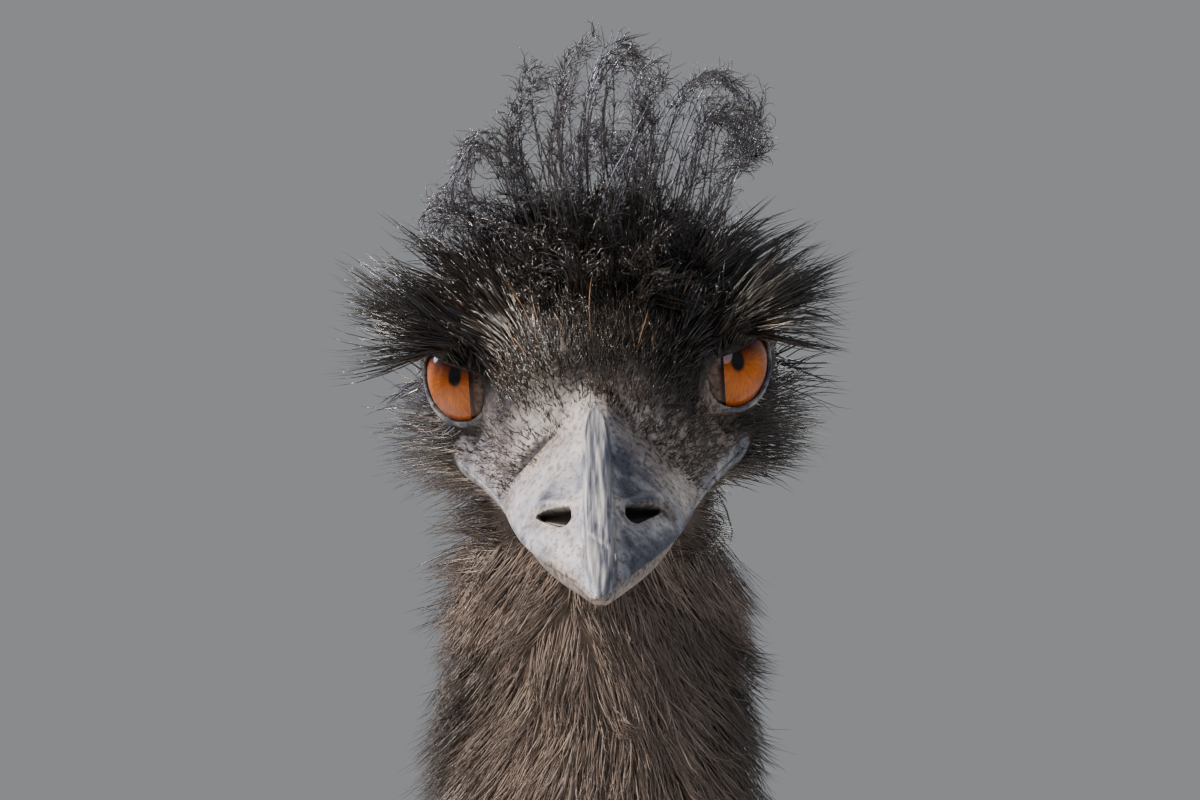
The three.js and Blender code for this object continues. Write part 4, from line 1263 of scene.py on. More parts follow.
def sprung(
    root: Array, way: Array, out: Array, length: Array, points: int, bend: Array, curl: Array, wave: float,
    rng: np.random.Generator,
) -> Pair:
    """Lines that spring from their roots, bend along, and curl round.

    Args:
        root: the roots.
        way: the ways in which they start.
        out: the ways out of the skin.
        length: their lengths.
        points: points in each line.
        bend: what is added to the way by the end of the line.
        curl: how far each has turned round by its end, in radians.
        wave: how strongly they sway to and fro on their way, in radians.
        rng: the source of the turning axes.

    Returns:
        The points of the lines, and the ways out at each.
    """
    count = len(root)
    at, way = root.copy(), unit(way)
    axis = unit(rng.normal(0, 1, (count, 3)) + 0.8 * unit(np.cross(way, out)))
    swing, start = unit(rng.normal(0, 1, (count, 3))), rng.uniform(0, 2 * pi, count)
    stride = (length / (points - 1))[:, None]
    lines, outs = [at], [out]
    for i in range(1, points):
        s = i / (points - 1)
        turn = (curl / (points - 1) * 3 * s * s)[:, None]
        sway = (wave / (points - 1) * 6 * np.sin(start + 9 * s))[:, None]
        way = unit(way + np.cross(axis, way) * turn + np.cross(swing, way) * sway + bend * (2 * s / (points - 1)))
        at = at + way * stride
        lines.append(at)
        outs.append(unit(skimming(out, way)))
    return np.stack(lines, 1), np.stack(outs, 1)


def clumped(lines: Array, leaders: int, pull: Array | float, rng: np.random.Generator) -> Array:
    """Draws the tips of strands together into clumps.

    Args:
        lines: the strands' lines.
        leaders: how many of them lead a clump.
        pull: how far the others' tips come over to their leader, from 0 to 1.
        rng: the source of the choice.

    Returns:
        The lines, each drawn towards the leader with the nearest root.
    """
    chosen = rng.choice(len(lines), leaders, replace=False)
    tree = KDTree(leaders)
    for k, i in enumerate(chosen):
        tree.insert(lines[i, 0], k)
    tree.balance()
    nearest = chosen[[tree.find(root)[1] for root in lines[:, 0]]]
    share = np.reshape(pull, (-1, 1, 1)) * np.linspace(0, 1, lines.shape[1])[None, :, None] ** 1.3
    return mix(lines, lines[nearest], share * rng.uniform(0.5, 1.0, (len(lines), 1, 1)))


class Bed:
    """The finished skin as a bed for the coat, which gives roots on its own faces."""

    def __init__(self, skin: Object, frame: Frame) -> None:
        """Reads the skin's triangles."""
        mesh = skin.data
        mesh.calc_loop_triangles()
        corners = np.zeros(3 * len(mesh.loop_triangles), np.int32)
        mesh.loop_triangles.foreach_get("vertices", corners)
        normals = np.zeros(3 * len(mesh.vertices))
        mesh.vertices.foreach_get("normal", normals)
        points = frame.taken(mesh)
        self.corners = points[corners.reshape(-1, 3)]
        self.outs = normals.reshape(-1, 3)[corners.reshape(-1, 3)]
        self.middles = self.corners.mean(1)
        edges = self.corners[:, 1:] - self.corners[:, :1]
        self.areas = np.linalg.norm(np.cross(edges[:, 0], edges[:, 1]), axis=1)
        self.tree = BVHTree.FromPolygons(points.tolist(), corners.reshape(-1, 3).tolist())

    def roots(self, count: int, wanted: Callable[[Array], Array], rng: np.random.Generator) -> Pair:
        """Roots strewn over the skin.

        Args:
            count: how many there are.
            wanted: how thickly they stand at points of the bird's frame.
            rng: the source of their places.

        Returns:
            The roots and the ways out of the skin.
        """
        weight = self.areas * np.clip(wanted(self.middles), 0, None)
        pick = rng.choice(len(weight), count, p=weight / weight.sum())
        share = rng.dirichlet((1.0, 1.0, 1.0), count)[:, :, None]
        return (self.corners[pick] * share).sum(1), unit((self.outs[pick] * share).sum(1))

    def free(self, points: Array, reach: float) -> Array:
        """Whether each point of the bird's frame lies within reach of the skin, in millimetres."""
        return np.array([self.tree.find_nearest(Vector(p), reach)[0] is not None for p in points])


# The skin.


def plates(start: float, end: float, count: int, height: float) -> OverBody:
    """The lift of overlapping plates down the front of a leg, or along the top of a toe."""

    def lift(t: Array, angle: Array) -> Array:
        run = np.clip((t - start) / (end - start), 0, 1) * count
        free_edge = (run % 1.0) ** 3
        front = smooth(-np.cos(angle), 0.15, 0.45)
        return height * front * (0.35 + free_edge) * smooth(t, start - 0.02, start + 0.02)

    return lift


@dataclass
class Skin:
    """The one skin of the bird, from the base of the bill to the ends of the toes."""

    frame: Frame
    body_voxel: float = 6.0
    head_voxel: float = 0.7
    scute_height: float = 1.3
    lid_depth: float = 0.95

    def opening(self, grow: float, reach: Array | float) -> Array:
        """The edge of the left eye's opening, grown a little, and at a distance from the middle of the ball."""
        turn = np.linspace(0, 2 * pi, 72, endpoint=False)
        along = (OPENING_HALF + grow) * np.cos(turn)
        up = (OPENING_RISE + grow) * np.sin(turn)
        brow = OPENING_TOP + grow + 0.13 * along
        up = np.where(up > brow, brow + 0.12 * (up - brow), up)
        out = np.sqrt(np.maximum(reach**2 - along**2 - up**2, 1.0))
        return EYE_AT + along[:, None] * EYE_BACKWARD + up[:, None] * EYE_UP + out[:, None] * EYE_OUT

    def _eye_parts(self) -> tuple[Shape, Shape]:
        """The lids and brow of the left eye, and the space that is cut out for its opening."""
        lids = ball(EYE_AT, [EYE_RADIUS + self.lid_depth] * 3, detail=36)
        edge = self.opening(0.65, EYE_RADIUS + 0.6)
        below = smooth(-edge[:, 2], -2, 4) * smooth(edge[:, 0], 26, 30)
        lids = lids.joined(
            rope(edge, 0.55 + 0.3 * below + 0.1 * ripple(edge, 2.4)), rope(self.opening(3.4, EYE_RADIUS + 0.9), 0.95),
            rope(self.opening(6.0, EYE_RADIUS + 2.2), 1.3),
            ball((OPENING_SIDE - 4.5, 3.0, 13.0), (4.6, 14.5, 3.8), turned("Z", 45)),
        )
        flat = self.opening(0.0, 1.0)
        steps = np.linspace(4.0, 26.0, 8)
        hole = tube(np.stack([flat + EYE_OUT * s for s in steps]), in_head=True)
        return lids, hole

    def head(self) -> Object:
        """The head's skin with its lids, lips and ears, and with open sockets."""
        whole = tube(SKULL.rings(90, 96), in_head=True)
        snout_skin = tube(snout_rings(np.linspace(8.0, FACE_CUT + 3.4, 40), Jaw.BOTH), in_head=True)
        lids, hole = self._eye_parts()
        gape = tube(GAPE.rings(40, 24), in_head=True)
        ring = np.linspace(0, 2 * pi, 28, endpoint=False)
        ear_line = np.stack([np.full(28, 41.5), 34 + 5 * np.cos(ring), -10 + 5.5 * np.sin(ring)], -1)
        side = lids.joined(gape, rope(ear_line, 1.5))
        whole = whole.joined(snout_skin, side, side.mirrored())
        made = remeshed(make_object("skin", whole, self.frame), self.head_voxel, 2)
        eyeball = ball(EYE_AT, [EYE_RADIUS + 0.06] * 3, detail=48)
        ear = ball((43, 34, -10), (7, 3.6, 4.2), detail=12)
        cutters = []
        for side in Side:
            for k, shape in enumerate((eyeball, hole, ear, self._slit(np.linspace(1.0, FACE_CUT + 8, 30)))):
                sided = shape if side is Side.LEFT else shape.mirrored()
                cutters.append(make_object(f"cut_{side.word}_{k}", sided, self.frame))
        return combined(made, cutters, "DIFFERENCE")

    def _slit(self, ahead: Array) -> Shape:
        """The thin space between the lips, on the left side."""
        outer, inner = np.full_like(ahead, 46.0), np.maximum(mouth_half(ahead) - 3.0, 2.0)
        corners = ((outer, 0.35), (inner, 0.35), (inner, -0.35), (outer, -0.35))
        rings = [np.stack([x, -ahead, lip_level(ahead) + z], -1) for x, z in corners]
        return tube(np.stack(rings, 1), in_head=True)

    def trunk(self) -> Object:
        """Trunk, neck, thighs and wings, all of which the coat covers."""
        limbs = [tube(part.rings(40, 36)) for body in (THIGH, WING) for part in (body, body.mirrored())]
        whole = tube(TRUNK.rings(60, 72)).joined(tube(NECK.rings(70, 48)), *limbs)
        return remeshed(make_object("flesh", whole, self.frame), self.body_voxel, 4)

    def legs(self) -> list[Object]:
        """Shanks and toes with their overlapping plates, each leg one shape."""
        shank_lift = plates(0.36, 0.99, 26, self.scute_height)
        made = []
        for side in Side:
            parts = [tube(SHANK.rings(220, 40, shank_lift))]
            for toe in TOES:
                lift = plates(0.1, 0.98, round(toe.length / 5.5), 1.1)
                parts.append(tube(toe.flesh().rings(110, 28, lift)))
            pad = ball((0, 0, 0), (24, 27, 26))
            parts.append(Shape(to_head(pad.points) + np.array([FOOT_SIDE, FOOT_Y, 23]), pad.faces))
            objects = []
            for k, shape in enumerate(parts):
                points = shape.points * side.signs
                points[:, 2] = np.maximum(points[:, 2], 0.0)
                faces = [f[:: int(side.value)] for f in shape.faces]
                objects.append(make_object(f"leg_{side.word}_{k}", Shape(points, faces), self.frame))
            made.append(combined(objects[0], objects[1:], "UNION"))
        return made

    def mark(self, made: Object) -> None:
        """Writes the markings on the skin, with their painted light and shade, and which faces belong to the scaled
        legs.
        """
        bird = self.frame.taken(made.data)
        local = to_head(bird)
        face = (np.abs(local[:, 1] - 12) < 60) & (local[:, 2] > -48)
        low = bird[:, 2] < ANKLE_Z + 30
        bare = np.clip(np.maximum(bareness(local), 0.75 * lore(local)), 0, 1) * face
        paint(made, bare=bare, chalk=chalkiness(local) * face, pale=paleness(bird))
        first = np.array([p.vertices[0] for p in made.data.polygons])
        made.data.polygons.foreach_set("material_index", low[first].astype(np.int32))

    def build(self) -> Object:
        """Builds the whole skin and hides the solids of the flesh."""
        made = combined(self.head(), [self.trunk(), *self.legs()], "UNION")
        skin, scales = BareSkin().material(), Scales().material()
        pairs = [f"{part}_{side.word}" for part in ("thigh", "shank", "foot", "wing") for side in Side]
        nodes = ["head", "neck_upper", "neck_lower", "torso", "tail", *pairs]
        finish_piece(made, (skin, scales), nodes)
        self.mark(made)
        return made


# The bill.


class Jaw(Enum):
    """The halves of the bill."""

    UPPER = "upper"
    LOWER = "lower"
    BOTH = "both"


def alongside(values: Sequence[float], ahead: Array) -> Array:
    """A smooth curve along the bill, from its base to its tip."""
    return through(np.array(values, float)[:, None], (ahead - FACE_CUT) / (BILL_TIP - FACE_CUT))[:, 0]


def mouth_half(ahead: Array) -> Array:
    """Half the width of the bill at the line of the mouth, and of the face behind it."""
    horn = alongside([23.2, 21.2, 18.2, 13, 6.4, 1.4], ahead)
    face = np.interp(ahead, [3.5, 13, 28, FACE_CUT], [34, 29, 24.6, 23.2])
    return np.where(ahead < FACE_CUT, face, horn)


def snout_rings(ahead: Array, jaw: Jaw) -> Array:
    """Sections of the bill at distances ahead of the eyes, in the head's level frame.

    Args:
        ahead: where the sections are.
        jaw: which half of the bill they go round.

    Returns:
        An array of sections, points and coordinates.
    """
    wide = mouth_half(ahead)
    top = alongside([9, 4.2, -0.6, -5.2, -10.6, -16.5], ahead)
    top = np.where(ahead < FACE_CUT, 9 + (FACE_CUT - ahead) * 0.28, top)
    bottom = alongside([-33, -31.6, -29.6, -27.4, -24.8, -21], ahead)
    if jaw is Jaw.BOTH:
        sunk = 1.6 * smooth(ahead, FACE_CUT - 1.0, FACE_CUT + 3.4)
    else:
        sunk = 1.6 * (1 - smooth(ahead, FACE_CUT - 3.0, FACE_CUT + 1.6))
    wide, top, bottom = wide - sunk, top - sunk, bottom + sunk
    keel = smooth(ahead, 43, 54)
    thin = np.minimum(1.0, wide / 5.5)
    rise, drop = top - MOUTH_LEVEL, MOUTH_LEVEL - bottom
    upper = [
        (wide * 0.9, 0.35 + 0 * rise), (wide * 0.985, 0.5 + 0 * rise), (wide, rise * 0.07 + 0.3),
        (wide * 0.95, rise * 0.17 + 0.2), (wide * 0.84, rise * 0.32), (wide * 0.64, rise * 0.5),
        (wide * 0.42, rise * mix(0.7, 0.645, keel)), (3.9 * thin, rise * mix(0.93, 0.8, keel)),
        (3.2 * thin, rise * mix(0.955, 0.86, keel)), (2.8 * thin, rise * mix(0.97, 0.95, keel)),
        (1.9 * thin, rise * mix(0.985, 0.992, keel)), (0 * wide, rise),
    ]
    lower = [
        (0 * wide, -drop), (wide * 0.4, -drop * 0.9), (wide * 0.68, -drop * 0.64), (wide * 0.84, -drop * 0.28),
        (wide * 0.87, -0.3 + 0 * drop),
    ]
    halves = {Jaw.UPPER: upper, Jaw.LOWER: lower, Jaw.BOTH: lower + upper}[jaw]
    corners = np.stack([np.stack([x, -ahead, z + MOUTH_LEVEL], -1) for x, z in halves], 0)
    fine = through(corners.reshape(len(halves), -1), np.linspace(0, 1, 7 * len(halves)))
    half = fine.reshape(-1, len(ahead), 3).transpose(1, 0, 2)
    if jaw is Jaw.LOWER:
        half = half[:, ::-1]
    other = half[:, ::-1] * MIRROR
    return np.concatenate([half, other[:, 1:]], 1)


@dataclass
class Nostril:
    """One nostril of the head's left side: a slit, taller at its inner end, under a soft fold."""

    inner: tuple[float, float, float] = (6.4, -69.0, -9.7)
    outer: tuple[float, float, float] = (15.0, -58.6, -12.4)
    out: tuple[float, float, float] = (0.65, -0.22, 0.72)
    height: float = 2.7  # half its height at the inner end
    fold: float = 0.9  # how far the fold above it stands out
    ledge: float = 0.7  # how deep the trough below it lies

    def place(self, local: Array) -> tuple[Array, Array, Array]:
        """Where points lie about the slit: along it from 0 to 1, across it towards the ridge, and inwards."""
        start, end = np.array(self.inner), np.array(self.outer)
        away = local * to_left(local) - start
        along = away @ (end - start) / np.sum((end - start) ** 2)
        away = away - along[:, None] * (end - start)
        out = unit(np.array(self.out))
        across = unit(np.cross(end - start, out))
        across = across if across[2] > 0 else -across
        return along, away @ across, -(away @ out)

    def shaped(self, local: Array) -> Array:
        """Points of the horn with the fold raised above the slit and the trough pressed in below it."""
        along, across, _ = self.place(local)
        near = smooth(along, -0.35, 0.1) * (1 - smooth(along, 0.85, 1.35))
        lift = self.fold * np.exp(-(((across - 3.4) / 1.6) ** 2)) - self.ledge * np.exp(-(((across + 1.6) / 2.4) ** 2))
        side = to_left(local)
        return local + unit(np.array(self.out)) * side * (lift * near)[:, None]

    def hole(self) -> Shape:
        """The space of the nostril."""
        start, end = np.array(self.inner), np.array(self.outer)
        out = unit(np.array(self.out))
        across = unit(np.cross(end - start, out))
        along = np.linspace(0, 1, 24)
        reach = self.height * np.sqrt(np.clip(along * 7, 0, 1)) * (1 - along) ** 0.7 + 0.3
        turn = np.linspace(0, 2 * pi, 24, endpoint=False)
        middle = start + along[:, None] * (end - start)
        rings = (
            middle[:, None]
            + (np.cos(turn)[None] * reach[:, None])[..., None] * across
            + (np.sin(turn)[None] * (2.2 + reach[:, None]))[..., None] * out
        )
        return tube(rings, in_head=True)

    # Painted shade: the horn is drawn near black by this depth inside the nostril.
    def depth(self, local: Array) -> Array:
        """How deep in the nostril points lie, from 0 to 1."""
        along, across, inwards = self.place(local)
        near = (np.abs(across) < self.height + 0.8) & (along > -0.2) & (along < 1.2)
        return smooth(inwards, 0.2, 1.3) * near

    def browning(self, local: Array) -> Array:
        """How brown the horn is round the nostril, from 0 to 1."""
        along, across, _ = self.place(local)
        # Browner close round the slit, a little more below it than above.
        away = np.hypot(np.maximum(np.abs(along - 0.55) - 0.5, 0) * 13, across + 0.8)
        return 1 - smooth(away + 0.9 * ripple(local, 3.1), 1.6, 4.2)


@dataclass
class Bill:
    """The horn of the bill: the upper half with its ridge and nostrils, and the lower half under it."""

    frame: Frame
    nostril: Nostril = field(default_factory=Nostril)

    def _upper(self) -> Object:
        """The upper half, worn along its ridge, with open nostrils."""
        ahead = FACE_CUT - 3.0 + (BILL_TIP - FACE_CUT + 3.0) * np.linspace(0, 1, 150) ** 0.92
        rings = snout_rings(ahead, Jaw.UPPER)
        local = self.nostril.shaped(self._worn(rings.reshape(-1, 3)))
        made = make_object("bill_upper_horn", tube(local.reshape(rings.shape), in_head=True), self.frame)
        hole = self.nostril.hole()
        cutters = [make_object(f"nostril_{k}", shape, self.frame) for k, shape in enumerate((hole, hole.mirrored()))]
        return combined(made, cutters, "DIFFERENCE")

    @staticmethod
    def _worn(local: Array) -> Array:
        """Points of the horn, chipped and scaling along the ridge and gently uneven on the sides."""
        x, ahead, up = local[:, 0], -local[:, 1], local[:, 2]
        ridge = (1 - smooth(np.abs(x), 3.4, 4.6)) * smooth(ahead, 44, 54) * (up > MOUTH_LEVEL + 1.5)
        long_way = np.stack([x * 1.0, local[:, 1] * 0.1, 0 * up], -1)
        grooves = 0.2 * ripple(long_way, 1.1) * ridge * (1 - smooth(ahead, 84, 92))
        half = 3.4 * np.sqrt(np.clip((ahead - 41) / 12, 0, 1))
        grooves += 0.4 * np.exp(
            -(((np.abs(x) - half) / 0.5) ** 2)
        ) * smooth(ahead, 41, 43) * (1 - smooth(ahead, 50, 62))
        peel = smooth(ahead, 74, 75) * (1 - smooth(ahead, 81.5, 83 + 2 * (x > 0)))
        flake = 0.35 * ridge * peel * smooth(x, 0.4, 0.9)
        nail = -0.45 * ridge * smooth(ahead, 83 + x, 84 + x)
        sides = 0.24 * ripple(local, 10) + 0.12 * ripple(local, 4.4)
        sides = sides + 0.3 * ripple(local, 2.2) * smooth(ahead, 70, 80) * smooth(
            np.abs(x) / mouth_half(ahead), 0.8, 0.95
        )
        change = grooves + flake + nail + sides * (1 - ridge) * (up > MOUTH_LEVEL + 1.5)
        return local + np.stack([0 * x, 0 * x, change], -1)

    def _paint(self, made: Object) -> None:
        """Writes where the ridge, the chalky horn and the nostrils are, and the painted shade in the nostrils, beside
        the ridge and over the side away from the key light.
        """
        local = to_head(self.frame.taken(made.data))
        side, ahead, up = local[:, 0], -local[:, 1], local[:, 2]
        x = np.abs(side)
        half = 3.4 * np.sqrt(np.clip((ahead - 41) / 12, 0, 1))
        ridge = (1 - smooth(x - half, -0.5, 0.5)) * smooth(ahead, 40.5, 41.5) * (up > MOUTH_LEVEL + 1)
        wide = x / np.maximum(mouth_half(ahead), 1)
        # More slate along the rims and at the tip, and much more over the side away from the key light: partly the
        # horn's own slate, partly painted shade.
        edge = (0.15 + 0.35 * (side > 0)) * smooth(wide, 0.8, 1.0) + 0.3 * smooth(ahead, 84, 97)
        edge += 0.7 * smooth(side + ripple(local, 13), 2.4, 6.5)
        # Painted shadow of the ridge: a dark line along its flank away from the key light, which deep carries into the
        # horn's painted shade.
        ridge_shadow = np.exp(-(((side - half - 0.3 - 0.3 * ripple(local, 6)) / 0.4) ** 2)) * smooth(ahead, 44, 50)
        deep = np.maximum(self.nostril.depth(local), 0.55 * ridge_shadow * (up > MOUTH_LEVEL + 1))
        rough = smooth(wide, 0.84, 0.97) * smooth(ahead, 68, 78) * (side < 0)
        margin = 0.6 * (1 - smooth(ahead + 5 * ripple(local, 5), 40, 52)) * smooth(x, 4, 12)
        brown = np.maximum.reduce(
            [rough, smooth(ahead + 2 * ripple(local, 6), 87, 94), 0.8 * self.nostril.browning(local), margin]
        )
        under = 0.75 * (up < MOUTH_LEVEL + 0.2)
        chalk = chalkiness(local) * (1 - 0.85 * brown) * (1 - under)
        paint(made, ridge=ridge, chalk=chalk, edge=np.clip(edge, 0, 1), deep=deep)

    def build(self) -> None:
        """Builds both halves."""
        horn = Horn().material()
        upper = self._upper()
        ahead = np.linspace(FACE_CUT - 3.0, BILL_TIP - 4, 80)
        lower = make_object("bill_lower_horn", tube(snout_rings(ahead, Jaw.LOWER), in_head=True), self.frame)
        for made, node in ((upper, "bill_upper"), (lower, "bill_lower")):
            finish_piece(made, (horn,), (node,))
            self._paint(made)


# The eyes.


@dataclass
class Eyes:
    """The two eyeballs, each with its iris and pupil turned to what the bird looks at, and a third lid."""

    frame: Frame
    gaze: tuple[float, float, float] = (0.50, -0.82, 0.27)
    rings: int = 64
    sides: int = 96
    fold_edge: float = 3.6  # where the third lid ends, outwards from the middle of the ball

    def _ball(self, side: Side) -> Object:
        """An eyeball with its rings set round its gaze."""
        gaze = unit(np.array(self.gaze) * side.signs)
        across = unit(np.cross(gaze, np.array([0, 0, 1.0])))
        up = np.cross(across, gaze)
        polar = np.linspace(0.004, pi - 0.004, self.rings)
        turn = np.linspace(0, 2 * pi, self.sides, endpoint=False)
        p, r = np.meshgrid(polar, turn, indexing="ij")
        ways = (
            np.cos(p)[..., None] * gaze
            + (np.sin(p) * np.cos(r))[..., None] * across
            + (np.sin(p) * np.sin(r))[..., None] * up
        )
        centre = EYE_AT * side.signs
        made = make_object(f"eyeball_{side.word}", tube(centre + EYE_RADIUS * ways, in_head=True), self.frame)
        local = to_head(self.frame.taken(made.data)) - centre
        right, high = local @ across, local @ up
        ahead = local @ gaze
        far = np.where(ahead > 0, np.hypot(right, high), 16.0)
        inside = 1 - smooth(far, 2.5, 5.0)
        pupil = np.hypot(right * 1.28, high * 0.92)
        polar = mix(far, pupil, inside) / 16.0
        bearing = np.arctan2(high, right)
        fibre = np.stack([np.cos(bearing) * 3, np.sin(bearing) * 3, far * 0.08], -1)
        # high is how high each point lies on the ball; the iris paints the brow's shadow from it.
        paint(made, polar=polar, high=0.5 + 0.5 * local[:, 2] / EYE_RADIUS, fibre=fibre)
        return made

    def _third_lid(self, side: Side) -> Object:
        """The fold over the front corner of the eye: a thin shell on the ball, with a straight upright edge."""
        share, rise = np.meshgrid(np.linspace(0, 1, 40), np.linspace(radians(-44), radians(44), 44), indexing="ij")
        last = np.arcsin(np.clip(self.fold_edge / (EYE_RADIUS * np.cos(rise)), -1, 0.7))
        yaw = mix(radians(-34), last, share)
        ways = np.stack([np.sin(yaw) * np.cos(rise) * side.value, -np.cos(yaw) * np.cos(rise), np.sin(rise)], -1)
        centre = EYE_AT * side.signs
        folds = 0.12 * np.sin(share * 17) * (1 - share)
        lift = 0.34 + folds - 0.26 * smooth(share, 0.93, 1.0)
        outer = centre + ways * (EYE_RADIUS + lift[..., None])
        inner = centre + ways * (EYE_RADIUS - 1.0)
        rings = np.concatenate([outer, inner[:, ::-1]], 1)
        made = make_object(f"third_lid_{side.word}", tube(rings, in_head=True), self.frame)
        local = to_head(self.frame.taken(made.data)) - centre
        edge = local[:, 0] * side.value - self.fold_edge
        paint(made, edge=smooth(edge, -1.6, -0.1))
        return made

    def build(self) -> None:
        """Builds both eyes."""
        wet, fold = Iris().material(), Membrane().material()
        for side in Side:
            finish_piece(self._ball(side), (wet,), (f"eye_{side.word}",))
            finish_piece(self._third_lid(side), (fold,))


@dataclass
class Claws:
    """The six claws."""

    frame: Frame

    def build(self) -> None:
        """Builds each claw over its own solid."""
        horn = ClawHorn().material()
        for side in Side:
            for toe in TOES:
                body = toe.claw() if side is Side.LEFT else toe.claw().mirrored()
                shape = tube(body.rings(36, 20))
                shape.points[:, 2] = np.maximum(shape.points[:, 2], 0.4)
                claw = make_object(f"claw_{toe.name}_{side.word}_horn", shape, self.frame)
                finish_piece(claw, (horn,), (f"claw_{toe.name}_{side.word}",))


# The coat.


@dataclass
class Coat:
    """Shared work of every part of the coat: seeded random numbers, roots that stand free, and finished pieces."""

    frame: Frame
    bed: Bed
    seed: int = 5
    rng: np.random.Generator = field(init=False)

    def __post_init__(self) -> None:
        """Starts the random numbers."""
        self.rng = np.random.default_rng(self.seed)

    def strands(
        self, patch: str, t: Array, angle: Array, roots: Array, lines: Array, outs: Array, width: Array, flat: float,
        copies: int = 1,
    ) -> Strands:
        """Puts lines, widths and markings together.

        Args:
            patch: the skin's patch on the unwrap.
            t: the roots' places along their body.
            angle: the roots' angles.
            roots: the roots, in the bird's frame.
            lines: the strands' lines, copies times as many as there are roots.
            outs: the ways out along them.
            width: their widths.
            flat: their depth as a share of half their width.
            copies: how many strands share a root.

        Returns:
            The strands.
        """
        place = np.tile(unwrapped(patch, t, angle), (copies, 1))
        pale = np.tile(paleness(roots), copies)
        feather = np.tile(self.rng.uniform(0, 1, len(roots)), copies)
        shade = np.clip(0.65 * feather + 0.35 * self.rng.uniform(0, 1, len(lines)), 0, 1)
        return Strands(lines, outs, width, place, pale, shade, flat)

    def piece(self, name: str, strands: Strands, material: Material, slot: Slot) -> None:
        """Builds the strands and dresses them."""
        finish_piece(strands.build(f"coat_{name}", self.frame), (material,))


# The locks of the crest, as places across and above the eyes in millimetres, root first.
CREST = (
    ((9, 22), ((-15, 36), (-18, 48), (-23, 56), (-28, 55), (-31, 47), (-28, 40), (-24, 42))),
    ((17, 16), ((-10, 36), (-13, 48), (-15, 59), (-13, 68), (-8, 72), (-5, 68))),
    ((6, 2), ((-4, 36), (-6, 50), (-3, 64), (0, 73), (5, 77))),
    ((22, 36), ((2, 36), (1, 50), (2, 62), (6, 73), (11, 77), (14, 72), (11, 65), (8, 67))),
    ((10, 12), ((8, 36), (11, 50), (14, 60), (17, 68), (20, 73))),
    ((26, 40), ((13, 36), (17, 50), (21, 61), (27, 69), (33, 70), (38, 63), (36, 55), (32, 57))),
    ((12, 22), ((20, 35), (25, 50), (30, 60), (35, 59), (36, 52), (33, 50))),
    ((20, 30), ((26, 33), (33, 45), (39, 51), (42, 58), (40, 63))),
    ((16, 26), ((-20, 33), (-26, 40), (-33, 42), (-38, 36), (-36, 31))),
    ((30, 46), ((-2, 32), (-4, 44), (-1, 54), (5, 58), (9, 54))),
    ((32, 48), ((12, 30), (14, 42), (10, 52), (4, 50))),
)


